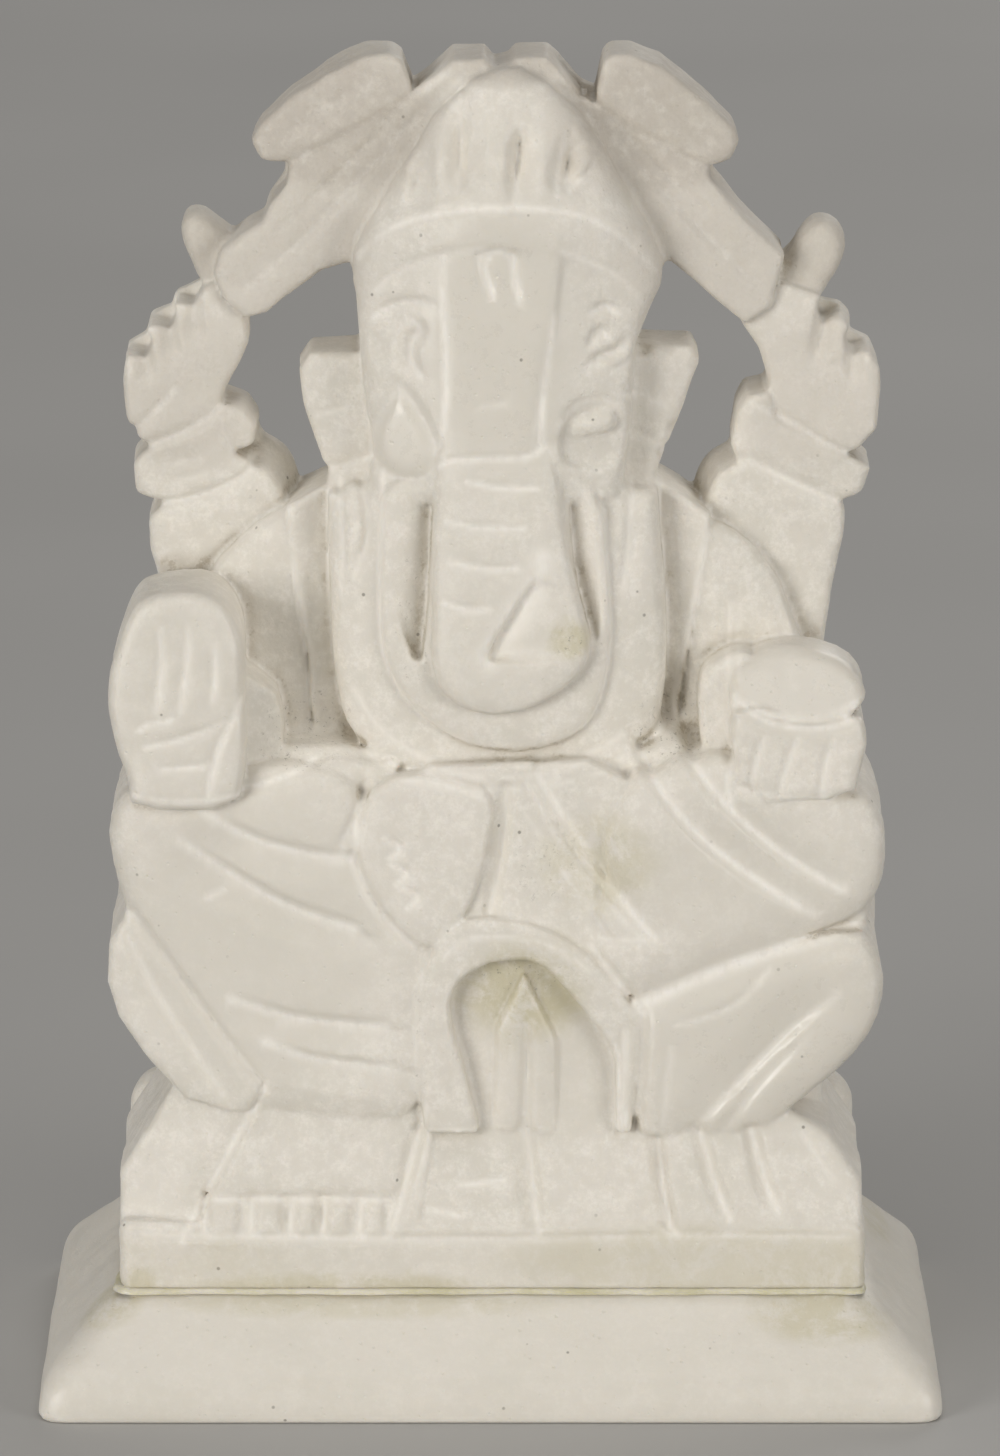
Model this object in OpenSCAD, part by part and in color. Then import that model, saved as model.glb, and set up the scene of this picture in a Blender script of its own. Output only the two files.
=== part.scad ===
// Small seated Ganesha idol, carved from one block of white stone
// and glued onto a separate bevelled stone plinth.
// Millimetres. +Z is up, the idol faces -Y, the viewer's right is +X.
// The origin is the centre of the plinth's underside.

/* [Whole object] */
// Width of the plinth across the idol's front
base_width = 83; // [75:0.5:92]
// Depth of the plinth, front to back
base_depth = 50; // [44:0.5:56]
// Height from the table to the tip of the axe blades
total_height = 123.4; // [112:0.1:136]

/* [Plinth] */
// Height of the vertical band around the foot of the plinth
lip_height = 3.3; // [2:0.1:5]
// Height of the plinth, with its sloping shoulders
plinth_height = 10; // [8:0.1:12]
// Width of the flat top that carries the idol
plateau_width = 69.6; // [64:0.1:76]
// Depth of the flat top that carries the idol
plateau_depth = 34.8; // [30:0.1:40]
// Softening of the plinth's long edges
plinth_edge = 0.7; // [0.2:0.1:1.2]

/* [Adhesive] */
// Thickness of the resin bed between the two stones
bed_thickness = 0.4; // [0.2:0.1:0.8]
// How far the resin stands out beyond the seat slab
bed_squeeze = 0.3; // [0:0.1:0.6]

/* [Seat slab] */
// Width of the slab carved with the figure
slab_width = 68.6; // [64:0.1:72]
// Depth of the slab carved with the figure
slab_depth = 34; // [30:0.1:38]
// Height of the plain band of the slab
slab_height = 6.2; // [5:0.1:8]
// Chamfer on the slab's corners
slab_chamfer = 1.2; // [0.4:0.1:2]

/* [Legs] */
// Half the width of the figure across its knees
knee_reach = 35; // [32:0.1:37]
// Height of the middle of the thighs
thigh_z = 51; // [48:0.1:54]
// Height of the middle of the folded shins
shin_z = 37; // [34:0.1:40]
// Radius of the knee lobes
knee_radius = 7; // [5:0.1:9]
// Length of each toe along its foot
toe_length = 3.2; // [2:0.1:5]
// Number of toes on each foot
toe_count = 5; // [4:1:6]

/* [Body] */
// Sideways offset of the head and body from the plinth's centre
body_x = 0.9; // [0:0.1:2]
// Width of the belly across the vest
belly_width = 33; // [28:0.5:38]
// Height of the middle of the belly
belly_z = 71; // [66:0.5:76]
// Height of the shoulders
shoulder_z = 80; // [76:0.5:84]

/* [Head] */
// Height of the middle of the face
face_z = 97; // [93:0.5:101]
// Width of the face at the brow
face_width = 27; // [24:0.5:30]
// Width across the ears
ear_span = 36; // [33:0.5:38]
// Width of the trunk where it leaves the face
trunk_width = 11; // [9:0.5:13]
// Height of the lowest bend of the trunk
trunk_low_z = 66.5; // [63:0.5:70]
// Height of the crown's peak
crown_z = 122.4; // [118:0.1:126]

/* [Arms and attributes] */
// Distance of the raised rear hands from the figure's centre line
rear_hand_x = 29.3; // [27:0.1:32]
// Height of the tips of the pointing rear fingers
rear_finger_z = 107; // [104:0.5:112]
// Thickness of the raised arms and axes, front to back
relief_depth = 9; // [7:0.5:11]
// Distance of the front hands from the figure's centre line
front_hand_x = 28.2; // [26:0.1:31]
// Height of the fingertips of the raised front palm
palm_top_z = 75.6; // [72:0.1:79]
// Radius of the sweet held in the other front hand
sweet_radius = 6; // [4.5:0.1:7]
// Height of the top of the sweet
sweet_top_z = 68.5; // [66:0.1:71]

/* [Back] */
// Radius of the upper cushion behind the hips
cushion_radius = 8; // [6:0.1:10]
// Radius of the small roll at the foot of the back
roll_radius = 3.6; // [2.5:0.1:5]
// How far the back of the figure lies behind the centre
back_y = 14; // [12:0.1:16]

/* [Hidden] */
slab_z = plinth_height + bed_thickness;
seat_z = slab_z + slab_height;
slab_front = -slab_depth / 2;
ear_y = 1.5;
axe_y = 2.5;
arm_y = 3;
fan_z = total_height - 20;
stone = [0.93, 0.925, 0.9];
figure_stone = [0.94, 0.935, 0.91];
resin = [0.84, 0.8, 0.58];
foot_width = 20;
foot_inner = 9.5;
toe_gap = 0.7;
side_signs = [-1, 1];
round_fn = 16;
small_fn = 8;
small_radius = 2.6;

// ---- helpers ----

function unit(v) = v / norm(v);
// Direction into the outline from its edge a to b
function inward(a, b) = let (d = unit(b - a)) [-d[1], d[0]];
// Centre of the arc that softens corner b, between neighbours a and c
function arc_centre(a, b, c, r) =
  let (n1 = inward(a, b), n2 = inward(b, c)) b + (n1 + n2) * r / (1 + n1 * n2);

// Outline of the plinth seen along one horizontal axis, edges softened by arcs
module plinth_profile(foot, top) {
  corners = [
    [-foot / 2, 0], [foot / 2, 0], [foot / 2, lip_height],
    [top / 2, plinth_height], [-top / 2, plinth_height], [-foot / 2, lip_height]
  ];
  count = len(corners);
  centres = [for (i = [0 : count - 1])
    arc_centre(corners[(i + count - 1) % count], corners[i], corners[(i + 1) % count], plinth_edge)];
  // straight runs, from one tangent point to the next
  polygon([for (i = [0 : count - 1])
    let (before = inward(corners[(i + count - 1) % count], corners[i]),
         after = inward(corners[i], corners[(i + 1) % count]))
    each [centres[i] - before * plinth_edge, centres[i] - after * plinth_edge]]);
  for (at = centres) translate(at) circle(r = plinth_edge, $fn = 48);
}

// Block with every edge cut back by c, as a chisel leaves it
module block(size, c = 1) {
  hull() {
    cube([size[0], size[1] - 2 * c, size[2] - 2 * c], center = true);
    cube([size[0] - 2 * c, size[1], size[2] - 2 * c], center = true);
    cube([size[0] - 2 * c, size[1] - 2 * c, size[2]], center = true);
  }
}

// Ball drawn out along the three axes
module lobe(at, radii) {
  translate(at) scale(radii) sphere(r = 1, $fn = round_fn);
}

// Tapered limb between two balls
module limb(a, ra, b, rb) {
  hull() {
    translate(a) sphere(r = ra, $fn = ra < small_radius ? small_fn : round_fn);
    translate(b) sphere(r = rb, $fn = rb < small_radius ? small_fn : round_fn);
  }
}

// ---- plinth ----
module base_plinth() {
  color(stone)
  intersection() {
    rotate([90, 0, 0])
      linear_extrude(base_depth, center = true)
        plinth_profile(base_width, plateau_width);
    rotate([90, 0, 90])
      linear_extrude(base_width, center = true)
        plinth_profile(base_depth, plateau_depth);
  }
}

// ---- adhesive ----
module adhesive_bed() {
  squeeze_width = slab_width - 2 * slab_chamfer + 2 * bed_squeeze;
  squeeze_depth = slab_depth - 2 * slab_chamfer + 2 * bed_squeeze;
  color(resin)
  translate([0, 0, plinth_height])
    linear_extrude(bed_thickness)
      union() {
        square([squeeze_width + 2 * slab_chamfer, squeeze_depth], center = true);
        square([squeeze_width, squeeze_depth + 2 * slab_chamfer], center = true);
        for (sx = side_signs, sy = side_signs)
          translate([sx * squeeze_width / 2, sy * squeeze_depth / 2]) circle(r = slab_chamfer, $fn = 48);
      }
}

// ---- figure ----

// Plain slab the figure sits on, flat underneath
module seat_slab() {
  hull() {
    translate([0, 0, slab_z + slab_height / 2])
      cube([slab_width, slab_depth - 2 * slab_chamfer, slab_height - 2 * slab_chamfer], center = true);
    translate([0, 0, slab_z + slab_height / 2])
      cube([slab_width - 2 * slab_chamfer, slab_depth, slab_height - 2 * slab_chamfer], center = true);
    translate([0, 0, slab_z + slab_height / 2])
      cube([slab_width - 2 * slab_chamfer, slab_depth - 2 * slab_chamfer, slab_height], center = true);
  }
}

// Thigh, folded shin and the foot turned in under it, on one side
module folded_leg(s) {
  knee_x = s * (knee_reach - knee_radius);
  // thigh from the hip out to the knee
  hull() {
    lobe([knee_x, -8, thigh_z - 1], [knee_radius, 6.5, 7]);
    lobe([s * 9, -4, thigh_z - 1], [8, 8, 8.5]);
  }
  // shin back in towards the middle
  hull() {
    lobe([knee_x - s * 0.5, -8.5, shin_z + 1], [knee_radius + 0.4, 6.5, 7]);
    lobe([s * 15, -7, shin_z - 3], [8, 8.5, 8]);
    lobe([s * 17, -8, shin_z - 10], [7, 6, 5]);
  }
  // instep running down to the toes
  hull() {
    translate([s * 19, -9, 28]) block([19, 9, 6], 1.2);
    translate([s * 19.5, -11, 19.5]) block([22, 10.5, 6], 1.2);
  }
  toes(s);
  // robe falling at the outer edge
  hull() {
    translate([s * 27, -6, 27]) block([6, 10, 5], 1);
    translate([s * 32.4, -8, 18.5]) block([3.6, 15, 5.5], 1);
  }
}

// Row of square toes along the front of a foot
module toes(s) {
  pitch = foot_width / toe_count;
  for (i = [0 : toe_count - 1])
    translate([s * (foot_inner + pitch * (i + 0.5)), slab_front + toe_length / 2 - 0.4, seat_z + 0.8])
      block([pitch - toe_gap, toe_length + 1.6, 3.2], 0.6);
}

// Cloth hanging between the feet under a carved arch
module front_drape() {
  arch_x = 4.2;
  arch_half = 9.3;
  difference() {
    hull() {
      translate([arch_x, -8, 20]) block([2 * arch_half + 1.5, 12, 8], 1);
      translate([arch_x, -8.5, 34]) block([2 * arch_half, 13, 6], 1);
      translate([arch_x - 0.8, -8, 41.5]) block([arch_half, 12, 4.4], 1);
    }
    // recess under the arch
    hull() {
      translate([arch_x + 0.4, -15, 26]) block([12.4, 4.4, 12], 0.6);
      translate([arch_x - 0.2, -15, 38]) block([6, 4, 4], 0.6);
    }
  }
  // leaf shaped fold inside the recess
  hull() {
    translate([arch_x - 0.6, -12.6, 25]) block([5.2, 3, 10], 0.6);
    translate([arch_x - 0.8, -12.4, 36]) block([1.4, 2.4, 5], 0.4);
  }
  // low panels on the slab in front
  translate([-1.2, -11.5, 20]) block([8.4, 9.6, 8], 1);
  translate([9.2, -11.5, 19.6]) block([10.6, 9.2, 7.4], 1);
}

// Knotted sash end lying over the lap
module sash() {
  hull() {
    translate([-6.2, -10.6, 54]) block([11, 6, 5], 1);
    translate([-8.2, -11, 49]) block([8.4, 6, 5], 1);
    translate([-4.6, -11, 44.2]) block([3, 5, 3], 0.8);
  }
  for (i = [0 : 3])
    limb([body_x + 2.5 + i * 3, -11.6, 55.5 - i * 0.4], 1.3, [body_x + 8.5 + i * 4, -13, 46 + i * 1.4], 1);
}

// Belly, chest and the stone left behind them
module torso() {
  hull() {
    lobe([body_x, -3, belly_z - 6], [belly_width / 2 + 3, 9.5, 8]);
    lobe([body_x + 0.6, -1, belly_z + 6], [belly_width / 2 + 1.5, 8.5, 7]);
    lobe([body_x, 4, shoulder_z - 2], [19, 7, 5]);
  }
  // edge of the vest around the belly
  for (s = side_signs) {
    limb([body_x + s * (belly_width / 2 - 2), -7, shoulder_z + 3], 1.6,
         [body_x + s * (belly_width / 2 - 1.4), -9.4, belly_z - 3], 2);
    limb([body_x + s * (belly_width / 2 - 1.4), -9.4, belly_z - 3], 2,
         [body_x + s * 7, -11, belly_z - 10.5], 2);
  }
  limb([body_x - 7, -11, belly_z - 10.5], 2, [body_x + 7, -11, belly_z - 10.5], 2);
  // shoulders
  for (s = side_signs)
    hull() {
      lobe([body_x + s * 19, 2, shoulder_z - 3], [6, 6, 5]);
      lobe([body_x + s * 23, 2, shoulder_z - 12], [7, 7, 9]);
    }
}

// Hips and back, with the cushion and roll behind them
module back_mass() {
  hull() {
    translate([0, 4, 30]) block([58, 16, 28], 4);
    translate([body_x, 4, 58]) block([50, 16, 14], 4);
    translate([body_x, 4, 76]) block([42, 14, 8], 4);
  }
  for (s = side_signs)
    limb([0, back_y - cushion_radius, 43], cushion_radius, [s * 27.2, back_y - cushion_radius, 43], cushion_radius);
  for (s = side_signs)
    limb([0, slab_depth / 2 - roll_radius, 17.5], roll_radius, [s * 30.2, slab_depth / 2 - roll_radius, 17.5], roll_radius);
}

// Trunk falling over the belly and curling to one side
module trunk() {
  top_z = 88;
  hull() {
    translate([body_x - 0.3, -8.6, top_z]) block([trunk_width, 8, 6], 1.6);
    translate([body_x - 0.4, -10.2, 76]) block([trunk_width + 1.4, 7, 6], 1.6);
  }
  hull() {
    translate([body_x - 0.4, -10.2, 76]) block([trunk_width + 1.4, 7, 6], 1.6);
    lobe([body_x - 0.6, -10.4, trunk_low_z + 4], [7.6, 5, 6]);
  }
  limb([body_x - 0.6, -11.2, trunk_low_z + 2.4], 3.6, [body_x + 6, -11.2, trunk_low_z + 4], 3);
  limb([body_x + 6, -11.2, trunk_low_z + 4], 3, [body_x + 6.4, -11.2, 75.5], 1.6);
  // folds across the trunk
  for (i = [0 : 3])
    translate([body_x + 0.2, -13.4 + i * 0.35, 74 + i * 3.6]) block([7.4, 1.6, 1.2], 0.3);
}

// Face, brow, eyes, tusks and the plate ears
module head() {
  hull() {
    lobe([body_x + 0.4, -1, face_z + 3], [face_width / 2, 9, 9]);
    lobe([body_x + 0.2, -1, face_z - 9], [face_width / 2 - 2.4, 8, 7]);
  }
  // smooth forehead running into the trunk
  hull() {
    lobe([body_x - 0.2, -6.8, face_z + 5], [8, 3.6, 4]);
    lobe([body_x - 0.2, -8.6, 88], [5.6, 3.8, 6]);
  }
  for (s = side_signs) {
    // eye
    lobe([body_x + s * 8.6, -7.4, face_z - 0.4], [2.6, 2, 2.6]);
    // cheek on one side, broken tusk on the other
    lobe([body_x + s * 8.4, -7.4, face_z - 7.6], [2.4, 2.4, s < 0 ? 3.4 : 1.5]);
    // ear
    hull() {
      translate([body_x + s * (ear_span / 2 - 3), ear_y, face_z - 3.4]) block([5.4, 5, 4.4], 0.8);
      translate([body_x + s * 12.6, ear_y, face_z - 13]) block([5.6, 5, 6], 0.8);
      translate([body_x + s * 10, ear_y, face_z - 2.6]) block([6, 6, 4], 0.8);
    }
  }
}

// Pointed crown with its band
module crown() {
  band_z = face_z + 9;
  hull() {
    lobe([body_x + 0.3, -1, band_z], [face_width / 2 - 0.6, 8.6, 2.4]);
    translate([body_x + 0.3, -0.6, band_z + 3]) block([face_width - 5, 14, 3], 1.4);
  }
  hull() {
    translate([body_x + 0.3, -0.4, band_z + 4]) block([face_width - 6, 12.6, 4], 1.6);
    translate([body_x + 0.3, -0.6, 115.5]) block([14, 8, 6], 1.6);
    translate([body_x, 0, crown_z - 1.6]) block([4, 5, 3.2], 0.8);
  }
}

// Raised rear arm with its bracelets, hand and pointing finger
module rear_arm(s) {
  hand_x = s * rear_hand_x;
  hull() {
    translate([s * 25.6, arm_y, 66]) block([9, relief_depth, 6], 1.6);
    translate([s * 26.6, arm_y, 80.6]) block([12, relief_depth, 6], 1.6);
  }
  // bracelets
  translate([s * 28, arm_y, 84.2]) block([11.4, relief_depth + 0.4, 3.2], 0.8);
  translate([s * 28.2, arm_y, 87.4]) block([11.2, relief_depth + 0.6, 3.8], 0.8);
  // hand
  hull() {
    translate([s * 29.4, arm_y, 91]) block([9.6, relief_depth, 5], 1.2);
    translate([s * 28.4, arm_y, 97.4]) block([8, relief_depth - 1, 5], 1.2);
  }
  // closed fingers stepping up the outside of the hand
  for (i = [0 : 2])
    translate([s * (32.6 - i * 1.8), arm_y, 93.6 + i * 2.6]) block([3, relief_depth - 1, 3], 0.7);
  // pointing finger
  limb([s * 27.2, arm_y, 100], 2.4, [hand_x - s * 0.6, arm_y, rear_finger_z - 2], 1.9);
}

// Axe leaning from the hand up behind the crown
module axe(s) {
  hull() {
    translate([s * 22.8, axe_y, 102]) rotate([0, s * 35, 0]) block([5.2, 7, 5.6], 1);
    translate([s * 12, axe_y, fan_z + 7]) rotate([0, s * 35, 0]) block([11, 7, 10], 1);
  }
  hull() {
    translate([s * 10, axe_y, fan_z + 8]) block([16, 7, 12], 1);
    translate([s * 3.6, axe_y, total_height - 4]) block([6, 6, 7.6], 1);
  }
  // blade
  hull() {
    translate([s * 19.4, axe_y, fan_z + 11.4]) block([4, 6.4, 4.4], 0.8);
    translate([s * 11.2, axe_y, total_height - 1.6]) block([5.4, 6.4, 3.2], 0.8);
    translate([s * 12, axe_y, fan_z + 9]) block([5, 7, 5], 1);
  }
}

// Front hand raised in blessing, palm forward
module blessing_hand() {
  palm_x = -front_hand_x;
  hull() {
    translate([palm_x - 0.2, -10.4, 66]) block([11.8, 8, 10], 1.6);
    translate([palm_x + 0.6, -10.4, palm_top_z - 2]) block([8, 7, 4], 1.4);
    translate([palm_x - 0.4, -9.4, 58.6]) block([9, 8, 4], 1.2);
  }
  // forearm behind the palm
  hull() {
    translate([palm_x + 4.6, -4, 64]) block([9, 9, 14], 1.4);
    translate([palm_x + 4.4, 2, 66]) block([9, 9, 16], 1.4);
  }
  // fingers
  for (i = [0 : 3])
    limb([palm_x - 3.6 + i * 2.4, -14.2, 68], 1, [palm_x - 2.4 + i * 2.1, -13.4, palm_top_z - 2], 1);
}

// Other front hand holding a round sweet
module sweet_hand() {
  hull() {
    translate([front_hand_x - 1.4, -9, 59.4]) block([12.4, 10, 5], 1.4);
    translate([front_hand_x, -9.6, 64]) block([11, 10, 3], 1.2);
  }
  // forearm behind the hand
  hull() {
    translate([front_hand_x - 4.4, -3, 63]) block([9, 9, 12], 1.4);
    translate([front_hand_x - 4.4, 3, 66]) block([9, 9, 16], 1.4);
  }
  // the sweet, flattened on top
  hull() {
    translate([front_hand_x - 0.2, -9.4, sweet_top_z - 0.8]) cylinder(r1 = sweet_radius, r2 = sweet_radius - 0.8, h = 0.8, $fn = round_fn);
    translate([front_hand_x - 0.2, -9.4, sweet_top_z - 3.4]) cylinder(r = sweet_radius, h = 1, $fn = round_fn);
    translate([front_hand_x - 0.4, -9.2, sweet_top_z - 5]) cylinder(r = sweet_radius - 1, h = 1, $fn = round_fn);
  }
  // fingers curled round it
  for (i = [0 : 3])
    limb([front_hand_x - 4.4 + i * 2.7, -13.6, 58.2], 1.1, [front_hand_x - 3.8 + i * 2.7, -14.2, 62], 1.2);
}

module carved_figure() {
  color(figure_stone)
  union() {
    seat_slab();
    back_mass();
    for (s = side_signs) {
      folded_leg(s);
      translate([body_x, 0, 0]) {
        rear_arm(s);
        axe(s);
      }
    }
    front_drape();
    sash();
    torso();
    trunk();
    head();
    crown();
    blessing_hand();
    sweet_hand();
  }
}

base_plinth();
adhesive_bed();
carved_figure();
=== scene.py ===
"""Small seated Ganesha idol: a hand-carved block of white stone glued on a bevelled stone plinth.

The figure and the plinth are carved in code. Each is a grid of distances to the surface (in millimetres):
stone is added as sloping prisms, eggs and rods, then cut back with tool strokes, weathered with seeded
noise, and turned into one closed mesh. The figure faces -Y, +X is the viewer's right, +Z is up.
"""
import math

import bpy
import numpy as np
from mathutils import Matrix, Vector


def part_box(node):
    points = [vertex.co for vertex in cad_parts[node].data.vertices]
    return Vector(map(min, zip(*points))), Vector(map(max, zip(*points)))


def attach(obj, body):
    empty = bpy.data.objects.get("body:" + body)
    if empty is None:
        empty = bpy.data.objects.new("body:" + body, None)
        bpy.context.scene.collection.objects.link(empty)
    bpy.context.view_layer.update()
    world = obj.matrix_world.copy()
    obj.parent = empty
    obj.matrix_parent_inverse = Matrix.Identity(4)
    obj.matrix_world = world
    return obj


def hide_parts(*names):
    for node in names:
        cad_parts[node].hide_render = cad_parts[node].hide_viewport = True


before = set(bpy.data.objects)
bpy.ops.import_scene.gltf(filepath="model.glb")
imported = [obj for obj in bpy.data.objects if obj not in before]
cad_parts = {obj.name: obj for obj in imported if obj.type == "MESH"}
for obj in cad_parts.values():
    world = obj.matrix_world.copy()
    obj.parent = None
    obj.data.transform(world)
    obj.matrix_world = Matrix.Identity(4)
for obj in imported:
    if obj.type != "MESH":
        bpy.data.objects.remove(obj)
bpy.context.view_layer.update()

MM = 0.001
FIGURE_LOW, FIGURE_HIGH = (-38, -20, 8), (39, 19.5, 126)    # the block that the figure is carved from, mm
UNDERSIDE = 10.4                                            # z of the slab's underside, on the adhesive, mm
FIGURE_STEP, PLINTH_STEP = 0.36, 0.42                       # grid steps, mm
FIGURE_TRIANGLES, PLINTH_TRIANGLES = 190000, 70000


# ---- carving ----

F = np.float32
ALL = (slice(None),) * 3


def chaikin(points, rounds, closed=True):
    """Rounds the corners of an outline, or of an open line, by cutting them."""
    pts = np.array(points, float)
    for _ in range(rounds):
        nxt = np.roll(pts, -1, axis=0) if closed else pts[1:]
        cur = pts if closed else pts[:-1]
        mix = np.empty((len(cur) * 2, 2))
        mix[0::2], mix[1::2] = cur * 0.75 + nxt * 0.25, cur * 0.25 + nxt * 0.75
        pts = mix if closed else np.vstack([pts[:1], mix, pts[-1:]])
    return pts


def outline_distance(pts, x, z):
    """Signed distance from a closed outline, negative inside."""
    best = np.full(np.broadcast(x, z).shape, 1e9)
    inside = np.zeros(best.shape, bool)
    for (ax, az), (bx, bz) in zip(pts, np.roll(pts, -1, axis=0)):
        ex, ez = bx - ax, bz - az
        px, pz = x - ax, z - az
        t = np.clip((px * ex + pz * ez) / (ex * ex + ez * ez + 1e-12), 0, 1)
        best = np.minimum(best, (px - t * ex) ** 2 + (pz - t * ez) ** 2)
        if abs(ez) > 1e-9:
            inside ^= ((az > z) != (bz > z)) & (x < ex * (z - az) / ez + ax)
    return np.where(inside, -1, 1) * np.sqrt(best)


def path_distance(pts, x, z):
    """Distance from an open line, its side (-1 left, +1 right of travel) and how far along it (0 to 1)."""
    best = np.full(np.broadcast(x, z).shape, 1e9)
    side = np.ones(best.shape)
    along = np.zeros(best.shape)
    seg = np.hypot(*np.diff(pts, axis=0).T)
    start = np.concatenate([[0], np.cumsum(seg)])
    for (ax, az), (bx, bz), s0, ln in zip(pts[:-1], pts[1:], start, seg):
        ex, ez = bx - ax, bz - az
        px, pz = x - ax, z - az
        t = np.clip((px * ex + pz * ez) / (ln * ln + 1e-12), 0, 1)
        d2 = (px - t * ex) ** 2 + (pz - t * ez) ** 2
        near = d2 < best
        best = np.where(near, d2, best)
        side = np.where(near, np.sign(pz * ex - px * ez) * -1, side)
        along = np.where(near, (s0 + t * ln) / start[-1], along)
    return np.sqrt(best), side, along


def soft_min(a, b, k):
    if k <= 0:
        return np.minimum(a, b)
    h = np.maximum(k - np.abs(a - b), 0) / k
    return np.minimum(a, b) - h * h * k * 0.25


def soft_max(a, b, k):
    return -soft_min(-a, -b, k)


class Stone:
    """A block of stone sampled on a grid: d is the distance from the surface in mm, negative inside."""
    EMPTY = 6.0                 # distance stored where there is no stone yet
    NARROWEST = 1.7             # grid steps that a stroke needs on each side to come out clean
    FLATTEST = 0.95             # and its share of the stroke's depth
    TAPER = 0.3                 # share of a stroke's length over which its ends fade
    BRUISE = 0.32               # half-width of the white line that a stroke leaves, mm
    FRONT = -20                 # y of the grid's front, mm

    def __init__(self, low, high, step):
        self.step = step
        self.low = np.array(low, float)
        self.n = [int(math.ceil((h - l) / step)) + 1 for l, h in zip(low, high)]
        self.ax = [(l + np.arange(n) * step).astype(F) for l, n in zip(low, self.n)]
        self.d = np.full(self.n, self.EMPTY, F)
        self.marks = []

    def window(self, low, high):
        cut = []
        for a, l, h in zip(self.ax, low, high):
            i, j = np.searchsorted(a, [l, h])
            cut.append(slice(max(i, 0), min(j + 1, len(a))))
        return tuple(cut)

    def grid(self, w):
        x, y, z = (a[s] for a, s in zip(self.ax, w))
        return x[:, None, None], y[None, :, None], z[None, None, :]

    def put(self, w, new, blend):
        self.d[w] = soft_min(self.d[w], new.astype(F), blend)

    def take(self, w, tool, blend):
        self.d[w] = soft_max(self.d[w], -tool.astype(F), blend)

    def front_view(self, outline, soft, at, lean, about, pad, low=None, high=None):
        """The window round an outline seen from the front, its x and y, the distance from the outline, and
        the y of a plane that passes through y = at over the point about and leans with x and z."""
        pts = chaikin(outline, soft)
        lo, hi = pts.min(0) - pad, pts.max(0) + pad

        def plane(x, z):
            return at + lean[0] * (x - about[0]) + lean[1] * (z - about[1])

        corners = [plane(x, z) for x in (lo[0], hi[0]) for z in (lo[1], hi[1])]
        w = self.window([lo[0], min(corners) - pad if low is None else low, lo[1]],
                        [hi[0], max(corners) + pad if high is None else high, hi[1]])
        x, y, z = self.grid(w)
        x, z = x[:, 0, :], z[:, 0, :]
        return w, x, y, outline_distance(pts, x.astype(float), z.astype(float)), plane(x, z)

    # ---- adding stone ----
    def prism(self, outline, front, back, lean=(0, 0), about=(0, 0), edge=0.5, soft=1, bulge=0.0, reach=4.0,
              blend=0.1, back_edge=None, curve=0.0):
        """Stone behind an outline seen from the front. front and back are its y; lean is how y changes with
        x and z, curve how fast it turns back to each side, bulge how far it rounds off within reach of the
        outline. edge rounds its rim, back_edge the rim behind, and blend the joint with the stone there."""
        pad = 3.0
        w, x, y, side, face = self.front_view(outline, soft, front, lean, about, pad, high=back + pad)
        t = np.clip(-side / reach, 0, 1)
        face = face + curve * (x - about[0]) ** 2 + bulge * (1 - np.sqrt(1 - (1 - t) ** 2))
        slope = math.sqrt(1 + lean[0] ** 2 + lean[1] ** 2)
        side, face = side.astype(F)[:, None, :], face.astype(F)[:, None, :]
        new = soft_max(side, (face - y) / slope, edge)
        self.put(w, soft_max(new, y - F(back), edge if back_edge is None else back_edge), blend)

    def ball(self, at, radii, blend):
        """Egg shape."""
        r = max(radii) + 2.5
        w = self.window([c - r for c in at], [c + r for c in at])
        q = [g - c for g, c in zip(self.grid(w), at)]
        k0 = np.sqrt(sum((c / r) ** 2 for c, r in zip(q, radii)))
        k1 = np.sqrt(sum((c / r ** 2) ** 2 for c, r in zip(q, radii)))
        self.put(w, k0 * (k0 - 1) / np.maximum(k1, 1e-6), blend)

    def rod(self, a, b, radius, blend, flat):
        """Rod with round ends; flat squashes it along y."""
        r = radius + 2.5
        w = self.window([min(p, q) - r for p, q in zip(a, b)], [max(p, q) + r for p, q in zip(a, b)])
        e = [q - p for p, q in zip(a, b)]
        px, py, pz = (g - c for g, c in zip(self.grid(w), a))
        t = np.clip((px * e[0] + py * e[1] + pz * e[2]) / (sum(c * c for c in e) + 1e-9), 0, 1)
        off = (px - t * e[0]) ** 2 + ((py - t * e[1]) / flat) ** 2 + (pz - t * e[2]) ** 2
        self.put(w, np.sqrt(off) - radius, blend)

    def box(self, low, high, edge=1.0, blend=0.5):
        pad = 2.5
        w = self.window([l - pad for l in low], [h + pad for h in high])
        q = [np.abs(g - (l + h) / 2) - ((h - l) / 2 - edge) for g, l, h in zip(self.grid(w), low, high)]
        outside = np.sqrt(sum(np.maximum(c, 0) ** 2 for c in q))
        self.put(w, outside + np.minimum(np.maximum(np.maximum(q[0], q[1]), q[2]), 0) - edge, blend)

    # ---- taking stone away ----
    def hollow(self, outline, floor, edge, soft=1, lean=(0, 0), about=(0, 0), wall=0.0):
        """Cuts back to y = floor inside an outline; wall slopes the sides (mm of y per mm in from it)."""
        w, _, y, side, face = self.front_view(outline, soft, floor, lean, about, 2.0, low=self.FRONT)
        side, face = side.astype(F)[:, None, :], face.astype(F)[:, None, :]
        tool = y - face
        if wall:
            tool = soft_max((side * wall + (y - face)) / math.hypot(1, wall), tool, edge)
            tool = soft_max(tool, side, edge)
        else:
            tool = soft_max(side, tool, edge)
        self.take(w, tool, edge)

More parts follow.
